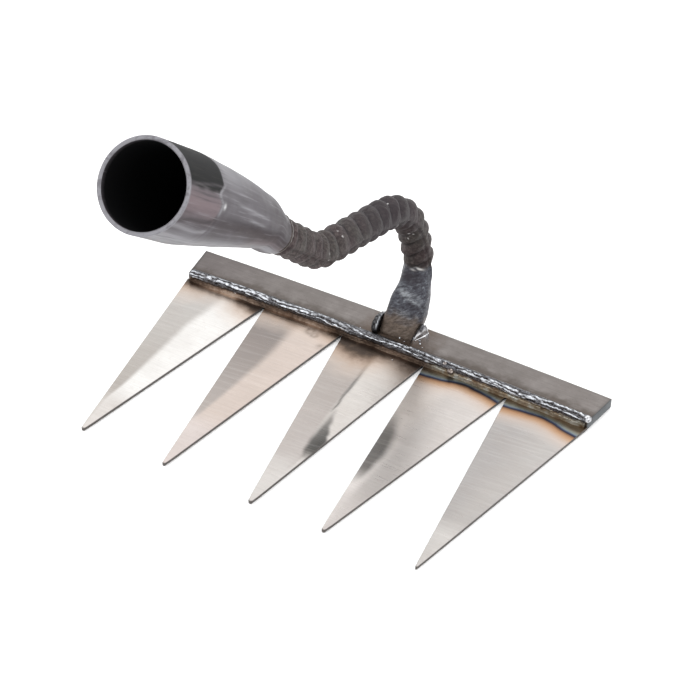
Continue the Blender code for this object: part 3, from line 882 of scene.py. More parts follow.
def rodSkin(distance, around, plainFrom):
    # where the skin is beside and above the rod's middle line, and the marks on it
    ribs = smoothStep(*rod["ribsFrom"], distance) * fadeOut(plainFrom - 4.0, plainFrom, distance)
    course = smoothStep(*rod["longRibFrom"], distance) * fadeOut(plainFrom - 3.0, plainFrom, distance)
    lift, notch = ribLift(distance, around)
    turned = around - math.radians(follow(rod["twist"], distance))
    halfSine, halfCosine = math.sin(turned / 2.0) * 2.0, math.cos(turned / 2.0) * 2.0
    seam = max(hill(halfSine, rod["longRibHalf"]), hill(halfCosine, rod["longRibHalf"]))
    # a shallow groove beside the long rib, which the material also paints with a dark shadow line
    groove = course * hill(math.sin((turned + 0.20) / 2.0) * 2.0, 0.09)
    raised = max(lift * ribs * rod["ribHeight"], seam * course * rod["longRib"] * 1.35)
    radius = rod["core"] + raised - 0.35 * groove
    wide = rod["grainRadius"]
    crust = grainAround(around, distance, wide, 2.2, 1.3)
    crust += 0.6 * grainAround(around, distance, wide, 1.0, 4.2)
    uneven = grainAround(around, distance, wide, 2.4, 9.0)
    dents = grain(math.cos(around) * wide * 1.3, math.sin(around) * wide, distance, 7.0, 6.6)
    forged = fadeOut(*rod["forgedTo"], distance)
    rise = crust * rod["scale"] * (1.0 - 0.6 * forged) + (dents - 0.35) * rod["hammer"] * forged
    grow = 1.0 + (rise - 0.16) / 7.0
    shift, halfSide, halfThick, squareness = footShape(distance, radius)
    beside, thick = squared(around, halfSide, halfThick, squareness)
    marks = {
        "lift": lift * ribs,
        "notch": notch * ribs,
        "groove": groove,
        "dusk": 0.7 * hill(distance - 112.0, 42.0),
        "forged": fadeOut(32.5, 36.5, distance + 1.5 * uneven),
    }
    if distance < rod["footLooksTo"]:
        marks.update(footMarks(distance, around, uneven))
    # the painted highlight on the last ribs and the bright spatter specks share one mark
    marks["bright"] = max(marks.get("bright", 0.0), speckAt(distance, around, uneven))
    return beside * grow + shift, thick * grow, marks


def makeRod():
    legs = rodRoute()
    total = sum(length for _, _, length, _ in legs)
    plainFrom = total - rod["plugLength"] - rod["collar"]
    shape = tubeGrid(rod["rings"], rod["sides"])
    marks = {}
    for vertex in shape.verts:
        distance = (vertex.co.z + 0.5) * total
        around = math.atan2(vertex.co.y, vertex.co.x)
        centre, angle = rodAt(legs, distance)
        lean = (angle - math.pi / 2.0) * min(1.0, distance / rod["footHeel"])
        normal = Vector((-math.cos(lean), -math.sin(lean)))
        if distance > plainFrom:
            beside, thick = math.cos(around) * rod["plugRadius"], math.sin(around) * rod["plugRadius"]
            marks[vertex.index] = {}
        else:
            beside, thick, marks[vertex.index] = rodSkin(distance, around, plainFrom)
        vertex.co = inRodPlane(centre + normal * thick, beside)
        if distance < 0.01:
            vertex.co.z = bar["thickness"] - 0.02
    return makePiece("ribbedRod", shape, marks, rodMaterial(), ["gooseneck"], 70.0)


makeRod()
print("rod made")


# Handle socket: a tube hammered down to a cone over the rod

socket = {
    "tilt": -3.1,
    "radius": 16.4,
    "wall": 1.5,
    "length": 118.5,
    "straight": 26.0,
    # height of the fold between tube and cone: degrees round, height
    "crease": (
        (-180, 91.0), (-60, 92.0), (-12, 91.5), (5, 90.5), (15, 93.5), (30, 88.5), (60, 86.5), (90, 90.0),
        (180, 91.0),
    ),
    # courses of the painted reflections, by height: degrees round, and for bandHalf a width in degrees
    "courses": {
        "line": ((92, 25.0), (118, 19.0)),
        "wave": ((88, -13.0), (91, -11.0), (94, -19.0), (98, -22.0), (108, -22.0), (118, -27.0)),
        "band": ((9, -27.0), (20, -24.0), (41, -21.0), (66, -18.0), (88, -13.0)),
        "bandHalf": ((15, 13.0), (60, 9.0), (88, 6.0)),
        "second": ((88, -25.0), (91, -34.0), (100, -37.0), (118, -34.0)),
        "creaseUpper": ((34, 6.0), (73, 11.0)),
        "creaseLower": ((38, -7.0), (58, -4.0)),
    },
    "neckRadius": 9.6,
    "shoulder": 9.0,
    "offset": 2.45,
    "lipWall": 1.3,
    "steps": 144,
    "rimRound": 0.4,
    "convex": 0.6,
    "humped": 0.35,
    "hammer": 0.22,
    "fold": 0.10,
    "unrolled": 120.0,
}


def socketFrame():
    start = rodCorners()[-1] + heading(math.radians(rod["angles"][-1])) * rod["standoff"]
    axis = heading(math.radians(rod["angles"][-1] + socket["tilt"]))
    above = Vector((-axis.y, axis.x))
    origin = inRodPlane(start + above * socket["offset"])
    out = inRodPlane(start + axis) - inRodPlane(start)
    up = inRodPlane(start + above) - inRodPlane(start)
    turned = Matrix((up.cross(out), up, out)).transposed().to_4x4()
    return Matrix.Translation(origin) @ turned


def tubeMaterial():
    material, tree, shader = startMaterial("drawnTube", 0.38, 0.5)
    shader.inputs["Specular IOR Level"].default_value = 0.25
    shader.inputs["Specular Tint"].default_value = (0.5, 0.5, 0.52, 1.0)
    skin = addNode(tree, "UVMap", {}, uv_map="skin").outputs["UV"]
    lengthwise = addNode(tree, "Mapping", {"Vector": skin, "Scale": (3.0, 60.0, 1.0)}).outputs["Vector"]
    # drawn lines along the tube, which also carry painted reflection streaks
    drawnLinesAndReflections = speckle(tree, lengthwise, 1.0, 4.0, 0.6)
    cloud = speckle(tree, place(tree), 11.0, 4.0, 0.55)
    fine = speckle(tree, place(tree), 0.8, 3.0, 0.6)
    chips = speckle(tree, place(tree), 3.2, 3.0, 0.6)
    base, _ = toneRamp(tree, cloud, (0.3, 74, 68, 72), (0.5, 92, 87, 91), (0.7, 114, 110, 115))
    # a rosy tint, painted pale reflections and highlights, painted dark reflections and shade, then the drawn
    # lines with painted reflection streaks
    base = paint(
        tree, base,
        ("rosy", (136, 117, 120)),
        ("pale", (166, 165, 169)),
        ("dusk", (68, 60, 62)),
        ((drawnLinesAndReflections, 0.5, 0.72, 0.0, 0.6), (60, 54, 58)),
        ((drawnLinesAndReflections, 0.28, 0.46, 0.5, 0.0), (168, 165, 170)),
    )
    # the painted dark reflection over the tube, streaky and near black
    darkReflectionTone, _ = toneRamp(tree, drawnLinesAndReflections, (0.3, 40, 39, 34), (0.46, 6, 6, 6), (0.6, 0, 0, 0))
    base = mixTone(tree, mark(tree, "patch"), base, darkReflectionTone)
    # the worn rim with chips, a painted glint, and the bore painted near black as the shade deep in the hole
    base = paint(
        tree, base,
        ("rim", (150, 149, 154)),
        (calc(tree, "MULTIPLY", mark(tree, "rim"), span(tree, chips, 0.5, 0.66, 0.0, 0.5)), (98, 94, 98)),
        ("spark", (250, 250, 250)),
        ("bore", (3, 3, 3)),
    )
    dull = calc(tree, "MAXIMUM", mark(tree, "bore"), mark(tree, "patch", 0.8))
    rough = mixTone(tree, dull, span(tree, cloud, 0.3, 0.7, 0.32, 0.42), (0.75, 0.75, 0.75, 1.0))
    rough = mixTone(tree, mark(tree, "bore"), rough, (1.0, 1.0, 1.0, 1.0))
    metal = calc(tree, "MULTIPLY", calc(tree, "SUBTRACT", 1.0, dull), 0.5)
    tree.links.new(metal, shader.inputs["Metallic"])
    normal = bump(tree, drawnLinesAndReflections, 0.12, 0.05)
    normal = bump(tree, fine, 0.15, 0.03, normal)
    return finishMaterial(material, base, rough, normal)


def wallMiddle(height):
    # radius that parts the outer side of the wall from the inner one
    neck = socket["neckRadius"] - socket["wall"] / 2.0
    tubeFrom = socket["length"] - socket["straight"]
    if height < socket["shoulder"]:
        lip = rod["plugRadius"] + rod["plugGap"] + socket["lipWall"] / 2.0
        return blend(lip, neck, height / socket["shoulder"])
    share = min(1.0, (height - socket["shoulder"]) / (tubeFrom - socket["shoulder"]))
    return blend(neck, socket["radius"] - socket["wall"] / 2.0, share)


def socketMarks(height, degrees, outside):
    # painted reflections, highlights and tints of the outer side, by height from the narrow end and degrees
    # round the axis
    crease = follow(socket["crease"], degrees)
    course = {name: follow(knots, height) for name, knots in socket["courses"].items()}
    uneven = grain(degrees / 9.0, height / 6.0, 0.0, 1.0, 2.0)
    onTube = smoothStep(crease - 0.4, crease + 0.8, height)
    onCone = 1.0 - onTube
    # a painted dark reflection over the tube above the fold
    patchLow = 16.0 + 3.0 * uneven
    patch = onTube * smoothStep(patchLow - 2.0, patchLow + 3.0, degrees) * fadeOut(120.0, 150.0, degrees)
    patch *= 1.0 - 0.45 * hill(degrees - course["line"], 1.6)
    # painted dark reflections along the tube and the cone, and painted shade towards the narrow end
    wave = onTube * hill(degrees - course["wave"], 3.2)
    band = onCone * hill(degrees - course["band"] + 3.0, course["bandHalf"])
    shoulder = fadeOut(16.0, 42.0, height + 7.0 * uneven) * smoothStep(-30.0, 5.0, degrees)
    flank = 0.35 * onCone * hill(degrees - 32.0, 14.0) * fadeOut(60.0, 78.0, height)
    # painted pale reflections along the tube and the cone, and painted highlights along the folds
    light = 0.65 * onTube * hill(degrees - course["second"], 3.0) + 0.9 * hill(degrees + 60.0, 13.0)
    light += 0.5 * onCone * hill(degrees - 50.0, 22.0) * smoothStep(45.0, 75.0, height)
    upperShare = smoothStep(28.0, 40.0, height) * fadeOut(68.0, 78.0, height)
    light += 0.7 * hill(degrees - course["creaseUpper"], 1.5) * upperShare
    lowerShare = smoothStep(34.0, 42.0, height) * fadeOut(54.0, 62.0, height)
    light += 0.55 * hill(degrees - course["creaseLower"], 1.8) * lowerShare
    foldShare = smoothStep(-16.0, -6.0, degrees) * fadeOut(20.0, 34.0, degrees)
    light += 0.6 * hill(height - crease + 1.2, 1.0) * foldShare
    rosyLow = 0.5 * hill(degrees + 45.0, 14.0) * fadeOut(30.0, 55.0, height)
    # a painted glint on the fold
    spark = 0.8 * hill(math.hypot((height - 87.0) / 1.1, (degrees - 3.0) / 3.2), 1.0)
    return {
        "patch": patch * outside,
        "dusk": min(1.0, 0.9 * wave + 0.6 * band + 1.0 * shoulder + flank) * outside,
        "pale": min(1.0, light) * outside,
        "rosy": (0.7 * onTube * hill(degrees + 2.0, 16.0) + rosyLow) * outside,
        "spark": spark * outside,
    }


def beatenRadius(height, around, crease):
    # the outer side: a cone with a soft bulge up to the fold, and the plain tube above it
    radius = socket["radius"]
    lowShare = (height - socket["shoulder"]) / (crease - socket["shoulder"])
    if lowShare < 1.0:
        bulged = socket["convex"] * math.sin(math.pi * lowShare)
        bulged += socket["humped"] * math.sin(math.pi * lowShare) * math.sin(around)
        radius = blend(socket["neckRadius"], socket["radius"], lowShare) + bulged
    return radius - socket["fold"] * hill(height - crease, 1.0)


def unrollSkin(shape, flat):
    # a UV map with the wall laid flat, along and round, for the drawn lines
    skin = shape.loops.layers.uv.new("skin")
    for face in shape.faces:
        turns = [flat[vertex.index][0] for vertex in face.verts]
        for loop in face.loops:
            u, v = flat[loop.vert.index]
            if max(turns) - min(turns) > 0.5 and u < 0.5:
                u += 1.0
            loop[skin].uv = (v, u)


def makeSocket():
    outer, wall, top, shoulder = socket["radius"], socket["wall"], socket["length"], socket["shoulder"]
    neck, rimRound, tubeFrom = socket["neckRadius"], socket["rimRound"], top - socket["straight"]
    inner, borePlug = outer - wall, rod["plugRadius"] + rod["plugGap"]
    corners = (
        (inner + rimRound, top), (outer - rimRound, top), (outer, top - rimRound), (outer, tubeFrom),
        (neck, shoulder), (borePlug + socket["lipWall"], 0.0), (borePlug, 0.0), (neck - wall, shoulder),
        (inner, tubeFrom), (inner, top - rimRound),
    )
    shape = spunShape(corners, (4, 3, 20, 96, 14, 3, 3, 12, 8, 3), socket["steps"])
    marks, flat = {}, {}
    placed = socketFrame()
    for vertex in shape.verts:
        x, y, height = vertex.co
        radius, around = math.hypot(x, y), math.atan2(y, x)
        degrees = math.degrees(around)
        flat[vertex.index] = (around / (2.0 * math.pi) + 0.5, height / socket["unrolled"])
        outside = 1.0 if radius > wallMiddle(height) and height < top - 0.3 else 0.0
        if outside:
            crease = follow(socket["crease"], degrees)
            if height > shoulder:
                radius = beatenRadius(height, around, crease)
            dent = grainAround(around, height / 2.2, 9.0, 7.0, 4.4)
            onCone = fadeOut(crease - 10.0, crease, height)
            radius -= socket["hammer"] * (0.25 + 0.75 * onCone) * abs(dent)
            radius = min(radius, outer)
        # the rim is worn down unevenly
        atRim = smoothStep(top - 0.9, top - 0.2, height)
        chip = max(0.0, grainAround(around, radius, 16.0, 2.4, 7.7) - 0.15)
        height -= atRim * (0.15 + 0.35 * chip)
        share = smoothStep(0.0, 1.0, 1.0 - height / (shoulder * 2.0))
        here = socketMarks(height, degrees, outside)
        inWall = radius > inner + 0.1
        here["rim"] = smoothStep(top - 1.0, top - 0.45, height) if inWall else 0.0
        # painted shade: the bore is painted near black deeper into the hole
        here["bore"] = 0.0 if outside or inWall and height > top - 2.0 else smoothStep(0.0, 1.2, top - height)
        marks[vertex.index] = here
        x, y = math.cos(around) * radius, math.sin(around) * radius - socket["offset"] * share
        vertex.co = placed @ Vector((x, y, height))
    unrollSkin(shape, flat)
    return makePiece(
        "handleSocket", shape, marks, tubeMaterial(), ["handle_socket"], 35.0, turn=False
    )


makeSocket()
print("socket made")


# Weld metal: a rough bead in the step, a ring at the rod, two fillets at the foot, and spatter

bead = {
    "stations": 840,
    "sides": 66,
    "skinShare": 0.8,
    "endInset": 1.25,
    "toe": 11.9,
    "endToe": 11.3,
    "crease": 0.70,
    "crown": (-8.75, 5.1),
    "crownHalf": 2.3,
    "frontEdge": 0.62,
    "relief": 0.62,
    "sink": 0.05,
    "stepAt": -10.2,
    "heelAt": -6.6,
    # strands of set metal: course as (along, lie), height in mm, half width as a share of the skin, shine
    # lie runs from the heel on the bar, 0, over the crown, 0.31, and the bar's front edge, 0.62,
    # to the toe, 1
    "strands": (
        (((-106.5, 0.36), (-99.5, 0.34)), 0.5, 0.045, 0.9),
        (((-106.5, 0.54), (-98.5, 0.50)), 0.5, 0.045, 1.0),
        (((-105.5, 0.70), (-98.5, 0.66)), 0.5, 0.045, 0.9),
        (((-95, 0.30), (-89, 0.27), (-76, 0.27), (-66, 0.30), (-61, 0.38)), 0.5, 0.045, 0.75),
        (
            (
                (-96.5, 0.38), (-93, 0.47), (-88, 0.40), (-82, 0.46), (-77, 0.44), (-71, 0.37), (-65, 0.43),
                (-62, 0.50),
            ),
            0.9, 0.070, 1.05,
        ),
        (((-74, 0.54), (-68.5, 0.57), (-64.5, 0.63), (-60, 0.67)), 0.6, 0.050, 0.95),
        (((-61, 0.34), (-56, 0.36), (-49, 0.33), (-42, 0.29), (-36, 0.31)), 0.6, 0.050, 0.9),
        (((-55, 0.54), (-51.5, 0.54), (-46, 0.45), (-41, 0.41), (-36, 0.41)), 0.7, 0.060, 1.0),
        (((-48, 0.56), (-44, 0.60), (-40, 0.56)), 0.5, 0.045, 0.8),
        (((-38, 0.30), (-29, 0.29), (-25, 0.34), (-19, 0.44)), 0.6, 0.070, 0.45),
        (((-35, 0.47), (-30.5, 0.50), (-28.5, 0.60), (-22, 0.60), (-18, 0.65)), 0.6, 0.045, 0.9),
        (((-19.5, 0.28), (-16.5, 0.38), (-12.5, 0.43)), 0.6, 0.045, 0.7),
        (
            ((-12, 0.46), (-7, 0.52), (-2, 0.52), (3.5, 0.46), (9, 0.44), (13, 0.48), (20, 0.53)),
            0.55, 0.038, 1.1,
        ),
        (((4.5, 0.30), (13, 0.28), (19.5, 0.29), (25, 0.32), (30.5, 0.40)), 0.7, 0.050, 1.0),
        (((16.5, 0.60), (19.5, 0.64), (23, 0.68), (27, 0.70)), 0.6, 0.045, 0.9),
        (((21, 0.46), (26, 0.50), (31, 0.56)), 0.6, 0.050, 0.6),
        (((33, 0.30), (42, 0.32), (50, 0.34), (59, 0.36), (68, 0.40), (75, 0.45)), 0.75, 0.050, 0.85),
        (
            ((41, 0.46), (47, 0.44), (51, 0.48), (57, 0.46), (64, 0.52), (71, 0.63), (76, 0.62)),
            0.75, 0.050, 1.05,
        ),
        (((54, 0.58), (60, 0.58), (67, 0.66), (73, 0.72)), 0.6, 0.045, 0.95),
        (((73, 0.50), (77, 0.50), (80.5, 0.46)), 0.7, 0.070, 0.8),
        (((79, 0.33), (81.5, 0.35), (84.5, 0.44)), 0.6, 0.050, 1.0),
        (((82.5, 0.34), (86, 0.31), (92, 0.28), (98, 0.27), (104.5, 0.30)), 0.75, 0.055, 0.95),
        (((84, 0.52), (89.5, 0.50), (94.5, 0.50), (99.5, 0.52), (103.5, 0.57)), 0.6, 0.045, 0.85),
        (((80, 0.72), (86.5, 0.72), (90, 0.74)), 0.5, 0.045, 0.6),
    ),
    # lumps: along, lie, height, reach along in mm
    "lumps": (
        (-95.5, 0.36, 0.9, 1.0), (-24.5, 0.55, 0.5, 1.0), (12.5, 0.30, 0.4, 1.4), (29.5, 0.36, 0.6, 1.3),
        (78, 0.44, 0.5, 1.6),
    ),
    # stained flank under the strands: how pale it is along the bar
    "pale": (
        (-108, 0.6), (-100, 0.45), (-90, 0.75), (-80, 1.1), (-72, 0.7), (-64, 0.25), (-58, 0.5), (-46, 0.6),
        (-36, 0.75), (-27, 0.45), (-20, 0.15), (-14, 0.35), (-4, 0.45), (8, 0.55), (21, 0.3), (30, 0.2),
        (108, 0.1),
    ),
}


def weldMarks(crest, stain=0.0, smoke=0.0, pale=0.0, olive=0.0):
    return {"crest": crest, "stain": stain, "smoke": smoke, "pale": pale, "olive": olive}


def weldMaterial(name, brightness):
    material, tree, _ = startMaterial(name, 0.24)
    at = place(tree)
    fine = speckle(tree, at, 0.45, 4.0, 0.65)
    cloud = speckle(tree, at, 3.0, 3.0, 0.6)
    mid = [part * brightness for part in (108, 108, 112)]
    high = [min(most, part * brightness) for most, part in ((250, 224), (250, 228), (252, 234))]
    # crest carries the painted highlights and painted shade of the weld's ridges and gaps
    level = calc(tree, "ADD", mark(tree, "crest"), span(tree, fine, 0.3, 0.7, -0.13, 0.13))
    base, _ = toneRamp(tree, level, (0.12, 40, 36, 36), (0.40, *mid), (0.80, *high))
    base = paint(tree, base, ((cloud, 0.52, 0.72, 0.0, 0.3), (96, 88, 82)))
    # the flank below: smoked dark at the crease, then the tint of the sheet
    mottled = span(tree, speckle(tree, at, 1.6, 3.0, 0.6), 0.3, 0.7, -0.12, 0.12)
    warm, _ = toneRamp(
        tree, calc(tree, "ADD", mark(tree, "pale"), mottled),
        (0.0, 78, 67, 60), (0.3, 112, 96, 84), (0.6, 160, 139, 123), (0.95, 218, 199, 183),
    )
    patches = speckle(tree, at, 5.0, 3.0, 0.6)
    oliveTone, _ = toneRamp(tree, patches, (0.36, 148, 126, 102), (0.5, 186, 172, 150), (0.64, 226, 228, 220))
    stained = mixTone(tree, mark(tree, "olive"), warm, oliveTone)
    stained = paint(tree, stained, ("smoke", (52, 44, 40)))
    base = mixTone(tree, mark(tree, "stain"), base, stained)
    rough = span(tree, level, 0.1, 0.8, 0.42, 0.2)
    normal = bump(tree, fine, 0.5, 0.10)
    return finishMaterial(material, base, rough, normal)


def beadToe(along):
    # how far the bead reaches onto the blades, less at both ends
    plain = bead["toe"] + 0.5 * grain(along, 0.0, 0.0, 9.0, 3.0) + 0.25 * grain(along, 0.0, 0.0, 2.5, 6.0)
    return blend(plain, bead["endToe"], smoothStep(99.0, 106.0, abs(along)))


def beadSkin(along, lie):
    # across and height of the bead's plain skin, and the way out of it
    across, height = bead["crown"]
    if lie < bead["frontEdge"]:
        turn = math.pi * lie / bead["frontEdge"]
        spot = Vector((across + math.cos(turn) * bead["crownHalf"], height + math.sin(turn)))
        out = Vector((math.cos(turn), math.sin(turn) * 2.0)).normalized()
    else:
        share = (lie - bead["frontEdge"]) / (1.0 - bead["frontEdge"])
        toe = beadToe(along)
        start, end = Vector((across - bead["crownHalf"], height)), Vector((-toe, blades["thickness"]))
        middle = Vector((-0.55 * toe - 4.9, 2.8))
        spot = start * (1 - share) ** 2 + middle * 2 * share * (1 - share) + end * share ** 2
        out = Vector((-1.0, 0.4 + share)).normalized()
    return spot, out


def strandsAt(along):
    # lie, height, half width and shine of the strands that pass here
    here = []
    for number, (course, tall, wide, shine) in enumerate(bead["strands"]):
        first, last = course[0][0], course[-1][0]
        if first - 1.5 < along < last + 1.5:
            taper = smoothStep(first - 1.5, first + 1.5, along) * fadeOut(last - 1.5, last + 1.5, along)
            seed = number * 3.7
            wander = 0.035 * grain(along, seed, 0.0, 2.2, 1.0) + 0.022 * grain(along, seed, 0.0, 0.9, 6.0)
            lumpy = 0.8 + 1.1 * grain(along, seed, 0.0, 1.7, 2.0)
            lit = shine * (0.72 + 1.3 * grain(along, seed, 0.0, 2.0, 9.0))
            lit *= min(1.0, taper * 1.5)
            width = wide * (1.0 + 0.5 * grain(along, seed, 0.0, 2.0, 4.0))
            here.append((glide(course, along) + wander, tall * taper * lumpy, width, lit))
    return here


def beadForm(along, lie, strands):
    # rise in mm, and brightness: painted highlights on strands and lumps, painted shade in the gaps beside
    # strands, and torn edges
    rise, lit, gap = 0.0, 0.0, 0.0
    for middle, tall, wide, shine in strands:
        off = abs(lie - middle) / wide
        body = math.sqrt(max(0.0, 1.0 - off * off / 1.7))
        rise = max(rise, tall * body)
        lit = max(lit, shine * hill(off, 0.75))
        gap = max(gap, hill(off - 1.6, 0.45) * min(1.0, tall * 1.6))
    for lumpAlong, lumpLie, tall, reach in bead["lumps"]:
        lump = hill(math.hypot((along - lumpAlong) / reach, (lie - lumpLie) / 0.07), 1.0)
        rise, lit = max(rise, tall * lump), max(lit, 0.9 * lump)
    torn = grain(along, lie * 14.0, 0.0, 1.3, 8.0)
    torn = 1.0 - 2.0 * abs(torn)
    plain = 0.24 + 0.18 * torn + 0.16 * grain(along * 0.4, lie * 11.0, 0.0, 0.9, 5.0)
    # painted highlights where strands and lumps are lit, painted shade in the gaps beside them
    level = plain + (0.95 - plain) * min(1.0, lit) - 0.30 * gap * (1.0 - min(1.0, lit))
    return rise + 0.12 * torn + 0.10 * grain(along, lie * 12.0, 0.0, 0.7, 3.0), level


def beadUnder(along, reach):
    # the hidden underside, over three straight stretches just inside the sheet and the bar
    low, high = blades["thickness"] - bead["sink"], bar["thickness"] - bead["sink"]
    step, heel = bead["stepAt"], bead["heelAt"]
    under = ((-beadToe(along) + 0.1, low), (step, low), (step, high), (heel, high))
    index = min(2, int(reach))
    ends = zip(under[index], under[index + 1])
    return Vector([blend(first, second, reach - index) for first, second in ends])


def beadMarks(along, lie, crest):
    # smoked at the crease, and along the upper border in patches
    crease = bead["crease"] + 0.05 * grain(along, 0.0, 0.0, 3.0, 2.0)
    crease += 0.03 * grain(along, 0.0, 0.0, 1.1, 7.0)
    patchy = smoothStep(-0.2, 0.4, grain(along, lie * 3.0, 0.0, 3.4, 4.0))
    upper = fadeOut(0.10, 0.17, lie + 0.07 * grain(along, 0.0, 0.0, 1.6, 9.0))
    smoked = (0.3 + 0.5 * patchy) * (1.0 - 0.6 * smoothStep(26.0, 34.0, along))
    smoked *= 1.0 - 0.7 * smoothStep(98.0, 106.0, abs(along))
    smoked *= hill(lie - crease - 0.01, 0.045)
    return weldMarks(
        crest,
        stain=max(upper, smoothStep(crease - 0.03, crease + 0.03, lie)),
        smoke=smoked + 0.8 * patchy * upper,
        pale=glide(bead["pale"], along) * smoothStep(crease - 0.02, 0.92, lie),
        olive=smoothStep(24.0, 32.0, along) * 0.85,
    )


def makeBead():
    half = barHalf(-bar["depth"] / 2.0) - bead["endInset"]
    shape = tubeGrid(bead["stations"], bead["sides"])
    marks, passing = {}, {}
    over = int(bead["sides"] * bead["skinShare"])
    for vertex in shape.verts:
        along = blend(-half, half, vertex.co.z + 0.5)
        station = round((vertex.co.z + 0.5) * bead["stations"])
        if station not in passing:
            passing[station] = strandsAt(along)
        slot = slotAround(vertex, bead["sides"])
        lie = min(1.0, slot / over)
        crest = 0.3
        if slot <= over:
            spot, out = beadSkin(along, lie)
            ends = smoothStep(0.0, 0.08, lie) * fadeOut(0.84, 0.97, lie)
            rise, crest = beadForm(along, lie, passing[station])
            spot = spot + out * rise * ends * bead["relief"]
        else:
            spot = beadUnder(along, (slot - over) / (bead["sides"] - over) * 3.0)
        marks[vertex.index] = beadMarks(along, lie, crest)
        vertex.co = bowed(along, spot.x, spot.y)
    material = weldMaterial("weldSilver", 1.0)
    return makePiece("seamBead", shape, marks, material, ["seam_weld"], 80.0)


makeBead()

collar = {
    "length": 4.9,
    "bore": 7.05,
    "crest": 1.35,
    "steps": 96,
    "ripples": 26.0,
    "rippleHeight": 0.16,
}


def makeCollar():
    bore, crest, length = collar["bore"], collar["crest"], collar["length"]
    corners = (
        (bore, 0.1), (bore + crest * 0.7, 0.1), (bore + crest, -1.2), (bore + crest * 0.75, -3.0),
        (bore + 0.2, -length), (bore, -length),
    )
    shape = spunShape(corners, (2, 4, 5, 5, 1, 2), collar["steps"])
    marks = {}
    placed = socketFrame()
    for vertex in shape.verts:
        x, y, height = vertex.co
        radius, around = math.hypot(x, y), math.atan2(y, x)
        wave = math.sin(around * collar["ripples"] + 2.0 * grain(x, y, height, 3.0, 1.0)) * 0.5
        ripple = wave + grain(x, y, height, 1.6, 3.0)
        radius += collar["rippleHeight"] * ripple * (radius - bore) / crest
        # a rosy spot under the neck with a painted highlight
        neckHighlight = hill(math.degrees(around) + 62.0, 9.0) * hill(height + 1.6, 1.4)
        marks[vertex.index] = weldMarks(0.28 + 0.2 * ripple + 0.9 * neckHighlight, 0.6 * (1.0 - neckHighlight), 0.3, 0.1)
        x, y = math.cos(around) * radius, math.sin(around) * radius - socket["offset"]
        vertex.co = placed @ Vector((x, y, height))
    material = weldMaterial("weldDark", 0.7)
    return makePiece("socketBead", shape, marks, material, ["socket_weld"], 80.0)


makeCollar()

footWelds = {
    "legs": (4.6, 5.4),
    "rises": (6.2, 9.0),
    "length": 14.0,
    "noseReach": -0.6,
    "noseTurn": 1.6,
    "inset": 0.4,
    "sink": 0.03,
    "reliefOut": 0.35,
    "reliefUp": 0.30,
    "ripplePitch": 2.3,
    "rippleBow": 3.2,
    "stations": 120,
    "sides": 56,
    "skinShare": 0.7,
}


def footSide(height, sign):
    # how far the weld's root is from the foot's middle at this height, just inside its side
    shift, halfSide, _, _ = footShape(height, rod["core"])
    return halfSide + sign * shift - footWelds["inset"]


def leftWeldForm(share, lie):
    # short curved ripples, with painted shade between them and painted highlights along the torn edges
    course = share * footWelds["length"]
    bent = course + footWelds["rippleBow"] * math.sin(lie * math.pi)
    phase = bent * 2.0 * math.pi / footWelds["ripplePitch"]
    ripple = math.sin(phase + grain(course, lie * 5.0, 0.0, 2.0, 2.0))
    bumpy = 0.5 * ripple + 0.7 * grain(course, lie * 5.0, 0.0, 1.8, 3.0)
    rims = hill(lie - 0.06, 0.07) + 0.9 * hill(lie - 0.93, 0.06)
    torn = smoothStep(-0.1, 0.5, grain(course, lie * 3.0, 0.0, 1.6, 5.0))
    return bumpy, 0.32 + 0.20 * bumpy + 0.8 * rims * (0.5 + 0.5 * torn)


def rightWeldForm(share, lie):
    # a blob that set in facets: a painted white highlight at the front toe, blue-grey and smooth higher up
    course = share * footWelds["length"]
    facet = noise.cell(Vector((course / 2.2, lie * 3.2, 1.3)))
    bumpy = 1.5 * facet - 0.5 + 1.3 * grain(course, lie * 5.0, 0.0, 1.5, 6.0)
    lit = smoothStep(0.5, 0.7, share) * fadeOut(0.4, 0.7, lie + 0.15 * bumpy)
    return bumpy, 0.32 + 0.14 * bumpy + 0.85 * lit * (0.8 + 0.7 * grain(course, lie * 5.0, 0.0, 1.0, 2.0))


